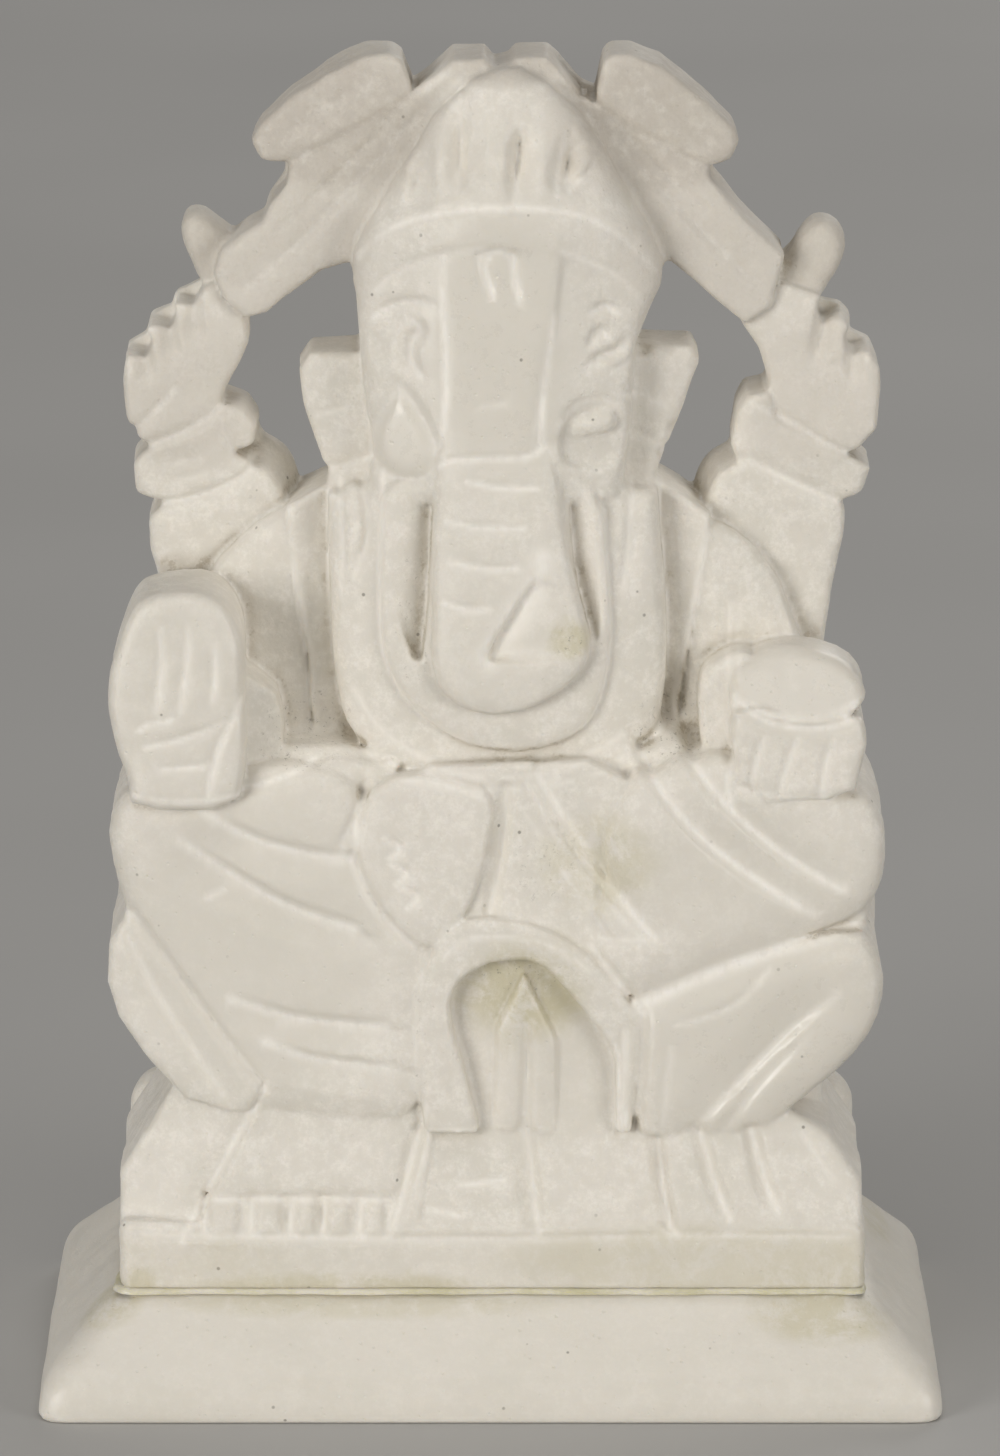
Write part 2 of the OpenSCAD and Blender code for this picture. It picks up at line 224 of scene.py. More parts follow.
    def cut(self, back, path, depth, left, right, ends=(0, 0), chalk=0.0, bruise=BRUISE):
        """A tool stroke along a path seen from the front, down to y = back at most.
        left and right are how far it fades on each side; ends are its depth at each end, as a share;
        chalk is how white the stroke has left the stone, over a band of half-width bruise."""
        pts = chaikin(path, 2, closed=False)
        least = max(self.NARROWEST * self.step, self.FLATTEST * depth)
        left, right = max(left, least), max(right, least)
        pad = max(left, right) + 0.3
        lo, hi = pts.min(0) - pad, pts.max(0) + pad
        w = self.window([lo[0], self.FRONT, lo[1]], [hi[0], back, hi[1]])
        x, _, z = self.grid(w)
        dist, side, along = path_distance(pts, x[:, 0, :].astype(float), z[:, 0, :].astype(float))
        fall = np.clip(1 - dist / np.where(side < 0, left, right), 0, 1)
        first, last = (e + (1 - e) * t / self.TAPER for e, t in zip(ends, (along, 1 - along)))
        self.d[w] += (depth * fall * np.minimum(1, np.minimum(first, last))).astype(F)[:, None, :]
        if chalk:
            self.marks.append((pts, bruise, chalk))

    def strokes(self, back, *rows):
        """Tool strokes in turn: (path, depth, left, right, ends, chalk, bruise)."""
        for row in rows:
            self.cut(back, *row)

    def chip(self, at, radius, blend):
        r = radius + 1
        w = self.window([c - r for c in at], [c + r for c in at])
        off = sum((g - c) ** 2 for g, c in zip(self.grid(w), at))
        self.take(w, np.sqrt(off) - radius, blend)

    def noise(self, cell, seed):
        """Smooth seeded noise from -1 to 1 over the whole grid, with lumps of the given size in mm."""
        rng = np.random.default_rng(seed)
        size = [int(n * self.step / cell) + 3 for n in self.n]
        v = rng.uniform(-1, 1, size).astype(F)
        for axis, n in enumerate(self.n):
            p = np.arange(n) * self.step / cell
            i = p.astype(int)
            t = (p - i).astype(F)
            shape = [1, 1, 1]
            shape[axis] = n
            t = (t * t * (3 - 2 * t)).reshape(shape)
            v = np.take(v, i, axis=axis) * (1 - t) + np.take(v, i + 1, axis=axis) * t
        return v


def surface_nets(d, low, step):
    """Vertices and quads of the zero surface of a distance grid."""
    inside = d < 0
    n = d.shape
    count = np.zeros([m - 1 for m in n], np.int8)
    for i, j, k in np.ndindex(2, 2, 2):
        count += inside[i:n[0] - 1 + i, j:n[1] - 1 + j, k:n[2] - 1 + k]
    cells = np.argwhere((count > 0) & (count < 8))
    index = np.full(count.shape, -1, np.int32)
    index[tuple(cells.T)] = np.arange(len(cells))
    # each vertex is the mean of the points where its cell's edges cross the surface
    total = np.zeros((len(cells), 3))
    hits = np.zeros(len(cells))
    for axis in range(3):
        others = [a for a in range(3) if a != axis]
        for shift in np.ndindex(2, 2):
            a = cells.copy()
            a[:, others] += shift
            b = a.copy()
            b[:, axis] += 1
            da, db = d[tuple(a.T)].astype(float), d[tuple(b.T)].astype(float)
            cross = (da < 0) != (db < 0)
            p = a.astype(float)
            p[:, axis] += np.where(cross, da / np.where(cross, da - db, 1), 0)
            total += np.where(cross[:, None], p, 0)
            hits += cross
    verts = np.asarray(low) + total / hits[:, None] * step
    # one quad round each grid edge that crosses it
    quads = []
    for axis in range(3):
        u, v = [(1, 2), (2, 0), (0, 1)][axis]
        near = [slice(1, m - 1) for m in n]
        far = list(near)
        near[axis] = slice(0, n[axis] - 1)
        far[axis] = slice(1, n[axis])
        starts = inside[tuple(near)]
        base = np.argwhere(starts != inside[tuple(far)])
        flip = starts[tuple(base.T)]
        base += [0 if m == axis else 1 for m in range(3)]
        corner = []
        for du, dv in ((0, 0), (1, 0), (1, 1), (0, 1)):
            c = base.copy()
            c[:, u] -= du
            c[:, v] -= dv
            corner.append(index[tuple(c.T)])
        q = np.stack(corner, 1)
        q[~flip] = q[~flip][:, ::-1]
        quads.append(q)
    return verts, np.vstack(quads)


# ---- the figure ----

def carve_back(st):
    """Seat slab, the mass of the back and its cushions."""
    st.box((-34.2, -17, 9.8), (34.6, 17, 16.8), edge=1.1)
    st.chip((-25.4, -17.2, 12.4), 0.45, 0.1)
    st.box((-30, -8, 12), (31, 11, 60), edge=4, blend=2)
    st.box((-27, -13, 15), (27, 4, 43), edge=1, blend=1)
    st.box((-11, -8.2, 58), (12, 4, 84), edge=1, blend=1)
    st.box((-20, -11.5, 44), (22, 2, 60.5), edge=1.5, blend=1)
    st.box((-16, -12.8, 52), (-8, -4, 59.6), edge=1.2, blend=0.4)
    st.box((26, -13.2, 41), (34.8, -2, 48), edge=1.4, blend=0.4)
    # back of the head, neck and shoulders, rounded off, then the cushions behind the hips
    st.box((-11.4, -6, 83), (12.6, 7.4, 104), edge=3.5, blend=2)
    st.ball((0.8, 4.4, 96), (9.5, 4.6, 10.5), blend=2.5)
    st.ball((1, 6.4, 70), (19, 4.4, 12), blend=4)
    st.box((-22, -5, 48), (24, 9.5, 79), edge=5, blend=3)
    st.ball((1, 3, 79), (17, 6, 5), blend=3)
    st.box((-34.9, -1.4, 33.6), (36.1, 16, 51.2), edge=6.5, blend=1.2)
    st.box((-34.2, 8.6, 15), (34.4, 16.4, 23.2), edge=3.6, blend=0.8)


def carve_axes(st):
    """Two axe blades with broad hafts, one plate each side behind the crown."""
    plate = dict(edge=0.4, soft=0, bulge=0.4, reach=1.2, blend=0.3, back_edge=1.6)
    st.prism([(0.6, 121.6), (-0.4, 123), (-3.4, 122.9), (-5.4, 121), (-7, 119.8), (-8, 122.6), (-9, 123.2),
        (-11.2, 123.1), (-14.8, 121.4), (-18.3, 119), (-20.9, 116.5), (-21.7, 115.1), (-20.9, 113.5),
        (-18.7, 112.8), (-18.8, 111.2), (-20.1, 109.4), (-20.6, 107.8), (-22.2, 106.9), (-24.4, 105),
        (-25.2, 102.8), (-24.2, 100.4), (-22.3, 99), (-20.4, 99.5), (-18.2, 101.2), (-15.4, 103.4),
        (-12.8, 104.2), (-9, 98), (0.6, 98)], -4.8, 6, lean=(-0.1, 0.06), about=(-8, 108), **plate)
    st.strokes(2,
        ([(-7.2, 119.4), (-13.4, 115.6), (-20.2, 112.4)], 0.45, 4.5, 0.6, (0.6, 0.9), 0.5),
        ([(-2.4, 121.4), (-6.6, 117.4), (-13.2, 110.6), (-17.8, 105.2), (-22.2, 101.8)], 0.5, 0.5, 2,
            (0.4, 0.6), 0.5),
        ([(-7, 119.9), (-12.6, 113.4), (-19.4, 106.8)], 0.35, 1, 0.4, (0.2, 0.8), 0.35),
        ([(-9.6, 121.4), (-14.6, 118.6), (-19.4, 115.4)], 0.16, 0.5, 0.5, (0.1, 0.1), 0.3))
    st.prism([(0.4, 121.6), (1.2, 121.8), (2.4, 123), (5.2, 123.1), (6.3, 122), (8.3, 119.7), (9.5, 119.2),
        (10.3, 122.6), (11, 123.2), (12.8, 123.2), (15.6, 122.1), (19.2, 119.1), (22.1, 116.3), (22.6, 115),
        (21.9, 113.5), (20.2, 112.9), (20.3, 111.8), (22.9, 108.4), (26.8, 104.6), (25.6, 99.8), (23.2, 98.4),
        (19.2, 101.9), (16.2, 104.4), (11, 98), (0.4, 98)], -4.8, 6, lean=(0.1, 0.06), about=(8, 108), **plate)
    st.strokes(2,
        ([(9.2, 118.8), (14.4, 115.4), (20.6, 112.2)], 0.45, 0.6, 4.5, (0.6, 0.9), 0.5),
        ([(5, 121.6), (10.4, 116.2), (16.6, 109.6), (23.6, 102.6)], 0.5, 2, 0.5, (0.4, 0.6), 0.5),
        ([(9.4, 119.2), (14, 114), (19.4, 109)], 0.35, 0.4, 1, (0.2, 0.6), 0.35),
        ([(11.6, 121.2), (16.2, 118), (20.2, 115)], 0.16, 0.5, 0.5, (0.1, 0.1), 0.3))


def carve_rear_arms(st):
    """The raised rear arms, cut almost flat: hand, two bracelets, arm and elbow each side."""
    # viewer's left: pointing finger, three curled fingers and the palm
    finger = dict(edge=1.1, bulge=0.8, reach=1.8, blend=0.4)
    st.prism([(-28.3, 106.8), (-27.6, 107.8), (-26.6, 107.9), (-25, 107), (-22.8, 105.3), (-21, 104.2),
        (-21.6, 99.7), (-26.2, 100.6), (-27.2, 103.2), (-28.1, 105.2)], -0.6, 5.4, lean=(0.1, 0.14),
        about=(-26, 104), **finger)
    hand = dict(edge=0.45, soft=0, bulge=0.5, reach=1.8, blend=0.2, back_edge=1.6)
    st.prism([(-22.2, 100), (-22.1, 96.4), (-23, 94.3), (-24.3, 92.2), (-24.8, 87.4), (-31, 85.6),
        (-33.3, 89.4), (-33.5, 92.8), (-33.3, 95.2), (-31.6, 96.1), (-31.3, 97.9), (-29.3, 98.7), (-28.9, 100),
        (-27, 100.9), (-25, 102)], -2.9, 6.4, lean=(0.05, 0.04), about=(-28, 94), **hand)
    for x, z, drop in ((-31.6, 95.8, 3.2), (-29.4, 98.5, 4), (-27.2, 100.6, 4.6)):
        st.cut(3, [(x, z + 0.6), (x + 0.5, z - drop)], 1.1, 0.35, 1.7, (1, 0), 0.4)
    st.cut(2, [(-32.6, 88.4), (-31, 89.8), (-28.8, 92.2)], 0.35, 0.5, 0.5, (0.8, 0.1), 1)
    # arm with its two bracelets
    arm = dict(soft=0, bulge=0.6, reach=2, blend=0.15, back_edge=2)
    st.prism([(-31.3, 86.9), (-32.8, 85.2), (-32.5, 82.4), (-30.6, 81.4), (-31.4, 79.6), (-31.3, 77),
        (-30.2, 73.4), (-28.6, 64), (-20, 64), (-15, 80), (-18.5, 80.7), (-19.2, 82.8), (-20.8, 84.8),
        (-23.2, 86.2), (-21.6, 87), (-21.3, 88.8), (-22.4, 90.3), (-24.4, 91.1), (-26.5, 90)], -3.1, 6.8,
        lean=(-0.02, -0.06), about=(-26, 84), **arm)
    st.strokes(2,
        ([(-32, 86.7), (-28, 88.1), (-25, 90), (-23.6, 91.2)], 0.5, 0.8, 0.3, (1, 0.8), 0.9),
        ([(-31, 81.3), (-27, 82), (-23, 83.6), (-21.4, 85.4)], 0.55, 0.3, 1.2, (1, 0.8), 1),
        ([(-24.6, 89.6), (-24.4, 87.4), (-22.8, 86)], 0.3, 0.6, 0.3, (0.3, 0.6), 0.6),
        ([(-30, 85), (-26.4, 85.8)], 0.16, 0.5, 0.5, (0.1, 0.1), 0.6),
        ([(-29, 83.6), (-26, 84.2)], 0.16, 0.5, 0.5, (0.1, 0.1), 0.6))
    st.ball((-21.4, 3.8, 82), (3.6, 4, 4.6), blend=1.6)
    # viewer's right
    st.prism([(24.6, 101.5), (27.4, 104.2), (28.4, 106.2), (30, 107.4), (31.6, 107), (32.6, 105.2),
        (32.2, 103.2), (30.6, 100.8), (30.2, 99), (24.8, 98)], -0.6, 5.4, lean=(-0.06, 0.14), about=(29, 104),
        **finger)
    st.prism([(22.6, 99), (24.6, 95.8), (25.4, 92.9), (25.2, 88), (31, 84.6), (33.6, 86.2), (35.4, 88.4),
        (35.7, 91.8), (35.6, 94), (34.8, 95.6), (33, 96.3), (32.9, 98), (32, 98.9), (30.2, 99.3), (30.2, 100.8),
        (26.5, 102)], -2.9, 6.4, lean=(-0.05, 0.04), about=(30, 92), **hand)
    st.strokes(3,
        ([(30.9, 99.6), (30.2, 97), (29.7, 94.2)], 1.2, 1.4, 0.35, (1, 0), 0.4),
        ([(33.1, 96.8), (33.2, 92.4)], 1, 1.3, 0.35, (1, 0), 0.4),
        ([(29.6, 94.4), (31.2, 94.2), (32.8, 94.6)], 0.3, 0.4, 0.8, (0.3, 0.3), 0.5))
    st.prism([(33.6, 86), (34.9, 84.7), (34.2, 82.6), (32.7, 81.4), (32.4, 78.4), (31.6, 73.6), (30.2, 64),
        (20, 64), (16.6, 80), (18.9, 79.7), (19.7, 81.8), (21, 84.2), (22.7, 85.3), (22.1, 87), (22.6, 90),
        (23.4, 91.5), (25.4, 92), (27, 89)], -3.1, 6.8, lean=(0.02, -0.06), about=(27, 84), **arm)
    st.strokes(2,
        ([(23.8, 91), (27.9, 88.9), (31, 86.9), (34.2, 85.8)], 0.5, 0.3, 0.8, (0.6, 1), 1),
        ([(23.6, 85.6), (27.4, 83.6), (30.4, 82.2), (33.2, 81)], 0.55, 1.2, 0.3, (0.6, 1), 1))
    st.ball((22.4, 3.8, 81.2), (3.6, 4, 4.4), blend=1.6)


def carve_head(st):
    """Face and ears: a flat polished front, eyes as rough strokes, a drop and a tusk stump on the cheeks."""
    # sides of the face, turned back from the flat front
    cheek = dict(edge=1, soft=0, bulge=0.8, reach=2)
    st.prism([(-10.4, 108.4), (-12.4, 105.4), (-12.1, 101), (-11.8, 96.6), (-11.2, 91), (-10.8, 82.8),
        (-3.4, 82.8), (-3.4, 111), (-8.5, 109.8)], -11.4, 7, lean=(-0.4, 0.02), about=(-4.2, 96), **cheek)
    st.prism([(9.5, 109.8), (4.2, 111), (4.2, 82.8), (12, 82.8), (12.9, 91), (13.2, 97), (14.4, 100),
        (15.4, 102.5), (15.6, 104.6), (13, 108.6)], -11.4, 7, lean=(0.36, 0.02), about=(5, 96), **cheek)
    # forehead and bridge, polished flat
    st.prism([(-4.4, 110.5), (-4.2, 100), (-4, 92), (-4.6, 84), (5, 84), (4.2, 90), (5.2, 96), (6.2, 101),
        (6.6, 110.5)], -11.7, 2, lean=(0, 0.02), about=(0.5, 96), bulge=0.5, reach=2.6, blend=0.5)
    st.strokes(-6,
        ([(-4.3, 104), (-4, 98), (-3.9, 92)], 0.12, 0.8, 0.4, (0, 0), 1),
        ([(5.8, 100), (5, 95), (4.2, 89.6)], 0.12, 0.4, 0.8, (0, 0), 1))
    # polished band below the crown
    st.prism([(-12.4, 101.8), (-11.9, 105), (-9.2, 108.9), (-3.5, 110.7), (2, 111.1), (8, 110.5), (12.9, 108),
        (15.6, 103.6), (14, 101), (11, 104.2), (6, 106.2), (0.8, 106.8), (-4.6, 106.2), (-8.4, 104.4)], -11.75,
        4, lean=(0, 0.03), about=(1, 106), edge=0.9, soft=2, bulge=0.3, reach=1.4, blend=0.9, curve=0.027)
    st.strokes(-5,
        ([(-9.6, 103.4), (-6.8, 105.4), (-3.6, 106.5), (-0.6, 106.8)], 0.22, 0.3, 0.8, (0.2, 0.1), 0.6),
        ([(6.4, 106.4), (8.8, 105.5), (12, 103.6), (13.8, 101.2)], 0.12, 0.3, 0.8, (0.1, 0.2), 0.8))
    # eye on the viewer's left: a lid line over a comma-shaped stroke
    st.strokes(-3,
        ([(-10.4, 95.6), (-10.2, 98), (-8.8, 100), (-7.4, 100.4)], 0.5, 0.8, 1.2, (0.2, 0.3)),
        ([(-10.6, 99.9), (-8.8, 101.4), (-6.4, 101.8), (-5.2, 101.4)], 0.65, 0.5, 1.2, (0.2, 0.2), 1),
        ([(-7, 100), (-6.2, 99.1), (-7.3, 97.8), (-7.2, 96.1), (-6.3, 94.8)], 0.95, 0.5, 1.6, (0.3, 0.1), 1),
        ([(-10.4, 102.4), (-8.6, 104.4), (-7.2, 105.2)], 0.18, 0.3, 0.4, (0.2, 0.2), 0.7),
        # and on the right, roughly pecked
        ([(9.2, 100.6), (10.4, 101.2), (11.6, 100.4)], 0.6, 0.5, 0.7, (0.2, 0.2), 1),
        ([(9, 97.4), (9.8, 99.2), (10.8, 98)], 0.7, 0.5, 0.5, (0.2, 0.2), 1),
        ([(8.8, 95.6), (10, 96.6), (11.6, 96.8), (12.4, 98)], 0.75, 0.5, 0.5, (0.2, 0.2), 1),
        ([(11, 95), (12.6, 95.8)], 0.3, 0.5, 0.5, (0.2, 0.2), 1))
    st.cut(-1, [(11.8, 93), (14, 91.8), (16, 90.8)], 0.3, 0.4, 0.5, (0.2, 0.2), 0.9)
    # drop of polished stone on one cheek
    st.cut(-2, [(-8.1, 94), (-10.6, 90.2), (-10.8, 86.8), (-8.4, 85), (-5.2, 85.8), (-4.8, 89), (-8.1, 94)],
        0.45, 0.6, 1, (0.8, 0.8), 0.35)
    st.prism([(-8.1, 93.4), (-10.2, 89.8), (-10.1, 87), (-8.2, 85.6), (-5.6, 86.4), (-5.4, 89.2)], -10.3, 0,
        lean=(-0.34, 0), about=(-8, 90), bulge=0.3, reach=1.6, blend=0.3)
    # stump of the broken tusk on the other
    st.hollow([(6.4, 90.6), (9.4, 92.6), (12.4, 91.4), (12.4, 86.4), (6.2, 86.4)], -9.4, edge=0.5, soft=2,
        lean=(0.3, 0), about=(9, 90), wall=0.8)
    st.rod((7.9, -9.3, 90), (10.4, -9, 90.5), 1.05, blend=0.2, flat=0.9)
    st.cut(-4, [(6.2, 90.4), (7.6, 92.2), (9.6, 92.8), (11.6, 92)], 0.3, 0.3, 0.6, (0.2, 0.3), 0.8)
    # sacred marks on the forehead
    st.strokes(-6,
        ([(-0.8, 106.2), (-0.3, 104.4), (0.3, 102.2)], 0.4, 0.3, 0.7, (0.8, 0), 1),
        ([(2.1, 106.2), (2.2, 104.2), (2.7, 102)], 0.4, 0.7, 0.3, (0.8, 0), 1),
        ([(-0.6, 106.2), (0.8, 106.7), (2.1, 106.2)], 0.25, 0.4, 0.3, (0.6, 0.6), 0.7),
        ([(-0.6, 92.4), (1.6, 92.6)], 0.1, 0.4, 0.4, (0, 0), 0.5))
    # ears
    ear = dict(edge=0.6, soft=0, bulge=0.3, reach=1.2, blend=0.6)
    st.prism([(-10, 96), (-16.4, 95.7), (-17.5, 94), (-17.1, 90.8), (-16, 87.5), (-14.9, 84.4), (-14.4, 80),
        (-9, 80)], -4.6, 4.2, lean=(-0.16, 0.04), about=(-13, 90), **ear)
    st.prism([(11, 96.6), (18.4, 96.3), (19.1, 94.9), (17.6, 90.8), (16.3, 87.5), (15, 84.4), (14.6, 80),
        (10, 80)], -4.6, 4.2, lean=(0.16, 0.04), about=(15, 90), **ear)
    st.strokes(1,
        ([(-15, 85), (-12.6, 85.6), (-10.4, 86.6)], 0.3, 0.3, 0.6, (1, 0.4), 0.9),
        ([(-15.8, 90), (-13, 90.8)], 0.16, 0.5, 0.5, (0.2, 0.2), 0.7),
        ([(12, 89.2), (15, 87.6), (16.8, 86.8)], 0.25, 0.3, 0.6, (0.3, 0.6), 0.7))
    # ragged edges left by the drill and the file
    for x, z, r in ((-17.4, 93, 0.5), (-16.9, 90, 0.4), (-15.4, 95.9, 0.4), (-13.2, 95.9, 0.35),
            (-16, 87.2, 0.4), (14, 96.3, 0.4), (16.4, 96.4, 0.5), (18.9, 94.4, 0.6), (17.9, 91.4, 0.45),
            (16.9, 88.6, 0.5), (15.9, 86.4, 0.4)):
        st.chip((x, -4.4, z), 1.7 * r, 0.6 * r)


def carve_crown(st):
    """Pointed crown, leaning back, with petals round its front."""
    st.prism([(-12.2, 105.4), (-11.6, 107), (-9.8, 110), (-7.8, 113.4), (-5, 118), (-1.6, 121.2), (0.8, 122.3),
        (2.6, 122.3), (4.8, 121.2), (8, 118.2), (9.8, 115.8), (12.2, 111.4), (14.6, 107.2), (15.2, 105.2),
        (12.4, 107.2), (8, 109), (1.8, 109.5), (-4.5, 109.2), (-8.8, 107.4)], -11.7, 4, lean=(0, 0.42),
        about=(1.4, 110), soft=0, bulge=0.8, reach=2.4, blend=0.5, curve=0.033)
    # side petals cut back from the front ones
    st.strokes(-2,
        ([(-6.6, 113.4), (-6.7, 112), (-7.2, 110)], 0.8, 2, 0.5, (0.3, 0.1), 0.3),
        ([(9.4, 113.9), (8.6, 112.9), (7.2, 111.8)], 0.7, 1.8, 0.4, (0.3, 0.1), 0.9),
        # line down the middle, deeper at its foot
        ([(2.8, 117.6), (2.5, 113.8), (2.2, 111)], 1.4, 2.2, 0.7, (0.1, 0.3), 0.6),
        # hollowed left petal
        ([(-2.7, 118.2), (-3, 115), (-2.9, 111.8)], 1.3, 2.8, 0.7, (0.5, 0), 0.4),
        ([(-5.4, 116), (-5.6, 113), (-5.6, 110.8)], 0.6, 0.6, 1.6, (0.2, 0.1), 0.3),
        # notch between the right-hand petals
        ([(7.4, 115.2), (7.2, 114), (6.5, 111.4)], 1.4, 0.8, 2.4, (0.6, 0.1), 0.3),
        ([(6.8, 116.6), (6.2, 114), (6, 111.4)], 0.2, 0.4, 0.8, (0.2, 0.2), 1))
    # fine steep cores of the three deepest strokes
    for path in ([(2.7, 117), (2.4, 114), (2.3, 112)], [(-2.4, 117.8), (-2.7, 115), (-2.6, 112.2)],
            [(7.3, 115.2), (7.1, 114), (6.5, 111.8)]):
        st.cut(-2, path, 0.6, 0.6, 0.6, (0.2, 0.1))
    # worn edge where the crown meets its band
    st.cut(-4, [(-12, 105.4), (-9.2, 108.4), (-4, 110.2), (2, 110.6), (7.6, 110), (11.6, 107.8), (15, 104)],
        0.22, 0.5, 0.35, (0.6, 0.6), 1)


def carve_torso(st):
    """Shoulders, belly and the open vest with its collar folds."""
    # shoulders and front upper arms
    shoulder = dict(edge=0.8, bulge=0.8, reach=2.6, blend=0.2)
    st.prism([(-29.2, 56), (-28.4, 66), (-27.4, 72), (-25.4, 76.2), (-22.4, 79.4), (-19, 81.4), (-16.8, 81),
        (-17, 72), (-15.6, 56)], -5.4, 6, lean=(-0.1, 0.03), about=(-20, 72), **shoulder)
    st.prism([(-18.6, 81.6), (-18.1, 75), (-16.8, 68), (-16, 56), (-11, 56), (-12.4, 70), (-12.6, 84),
        (-15.4, 83.4)], -5.6, 5, lean=(0.16, 0.05), about=(-16, 72), edge=0.3, soft=0)
    st.prism([(30.6, 56), (29.4, 66), (28.2, 70), (26.4, 75), (23.4, 78.6), (20.6, 80.2), (18.8, 80),
        (18.4, 70), (16.6, 56)], -5.4, 6, lean=(0.1, 0.03), about=(22, 72), **shoulder)
    st.prism([(20.2, 80.8), (19.2, 74), (17.6, 65), (16.2, 56), (13, 56), (14.4, 70), (15, 84), (17.6, 82.6)],
        -5.6, 5, lean=(-0.16, 0.05), about=(18, 72), edge=0.3, soft=0)
    # chest and belly
    st.prism([(-14.8, 86), (-14.6, 76), (-14.5, 68), (-13.4, 62), (-10.4, 57), (-4, 55), (6, 55), (12.6, 57.4),
        (15.6, 62), (16.3, 68), (15.8, 76), (15, 86)], -10.4, 4, lean=(0, 0.06), about=(1, 72), edge=0.8,
        bulge=2.4, reach=6.5, blend=0.15)
    # inner band of the vest, the trunk lying in it
    st.prism([(-9.8, 87), (-10.1, 78), (-10.1, 69.3), (-7.8, 64.6), (-3.6, 61.2), (1.7, 59.8), (6.5, 60.7),
        (9.7, 63.2), (11.2, 68.3), (11, 75), (9.9, 87)], -11.6, 4, lean=(0, 0.06), about=(1, 72), edge=0.4,
        soft=2, bulge=0.6, reach=2.6)
    st.cut(-5, [(-9.7, 86), (-10.1, 78), (-10.1, 69.3), (-7.8, 64.6), (-3.6, 61.4), (1.7, 60), (6.5, 60.9),
        (9.7, 63.4), (11, 68.3), (10.9, 75), (9.9, 86)], 0.1, 0.4, 0.4, (0, 0), 0.9)
    # collar folds beside the neck
    st.cut(-2, [(-13.8, 84.4), (-13.4, 80), (-13.6, 75)], 0.5, 0.3, 1, (1, 0), 0.9)
    st.strokes(-3,
        ([(-11.8, 84.6), (-11, 80.4), (-12.4, 76)], 0.7, 1.2, 0.5, (0.8, 0), 0.6),
        ([(13, 84.4), (12.6, 80), (12.2, 75)], 0.4, 1.4, 0.4, (0.8, 0), 0.7))
    # stone left at the foot of the pocket between belly and sweet
    st.box((10.5, -9.6, 53), (18, -2, 61.6), edge=2.2, blend=2.4)
    # channels each side of the trunk: a gentle outer wall and a steep inner one
    st.hollow([(-8.6, 86.6), (-9, 79), (-8.4, 72.4), (-6.4, 67.6), (-5.8, 72), (-5.3, 80), (-5, 86.6)], -9.7,
        edge=0.4, lean=(0.5, 0), about=(-5.4, 76), wall=3.6)
    st.hollow([(7, 87), (7.3, 79), (8.2, 73.4), (9.8, 69.6), (10.2, 74), (9.8, 80), (9.4, 87)], -9.7, edge=0.4,
        lean=(-0.5, 0), about=(7.2, 76), wall=3.6)
    # belly's lower rim and the crease over the lap
    st.cut(-3, [(-13, 61.4), (-9.6, 58.6), (-4, 57.2), (2, 57), (9, 58), (14.6, 60.8)], 0.6, 0.7, 0.9,
        (0.6, 0.6), 0.6)
    st.cut(-5, [(-12.6, 66), (-10.2, 61.8), (-5.4, 58.9), (1, 58), (7.6, 59), (12.4, 61.6)], 0.16, 0.4, 0.6,
        (0.1, 0.1), 0.7)
    st.strokes(1,
        ([(-27.2, 73.4), (-25.6, 76), (-23.2, 78.3), (-19.8, 80.7)], 0.25, 0.4, 0.4, (0.2, 0.5), 0.3),
        ([(25.4, 74.6), (26.8, 70.9), (27.8, 66)], 0.25, 0.4, 0.5, (0.4, 0.6), 0.3),
        ([(22.1, 72.6), (21.6, 67)], 0.25, 0.6, 0.3, (0, 1), 0.8),
        ([(22.9, 72.2), (22.7, 67)], 0.15, 0.3, 0.3, (0, 1), 0.6))


def carve_trunk(st):
    """Trunk, polished flat in front, its tip curling to the viewer's right."""
    st.prism([(-4.9, 90), (-5.2, 82), (-5.3, 74), (-5.4, 69.2), (-4.6, 66.2), (-2.1, 64.3), (1.6, 63.9),
        (5.6, 65.4), (8.6, 68), (9.3, 70.4), (8.4, 73.6), (7, 79), (6.6, 84), (5.2, 90)], -13.9, 0,
        lean=(0, 0.1), about=(0, 70), bulge=1.2, reach=3, blend=0.15)
    # hollow inside the curl, its long edge rasped white
    st.hollow([(-0.6, 69.3), (4.2, 77), (7.4, 75.4), (9, 71.4), (7.4, 69.6), (3.6, 69)], -12.9, edge=0.4,
        lean=(-0.1, 0.08), about=(1, 71), wall=1.5)
    st.strokes(-4,
        ([(-0.3, 69.5), (2, 72.8), (4.2, 76.4), (4.8, 78.6)], 0.45, 0.35, 1.8, (1, 0), 1, 1.1),
        ([(-0.2, 69.4), (2.4, 70), (4.8, 70.2)], 0.15, 0.9, 0.35, (1, 0), 0.3))
    # crease where it leaves the face, then the rings
    st.cut(-6, [(-4.6, 86.8), (-3.4, 87.6), (3.8, 87.6), (5, 88.6)], 0.45, 0.4, 1.4, (0.6, 0.6), 1)
    for z, left, right in ((84.9, -2.2, 4.4), (81.3, -4, 3.2), (77.6, -3.6, 2.6), (73.9, -4.2, -0.2)):
        st.cut(-6, [(left, z + 0.6), ((left + right) / 2, z - 0.1), (right, z)], 0.28, 0.3, 0.9, (0.1, 0.1), 1)


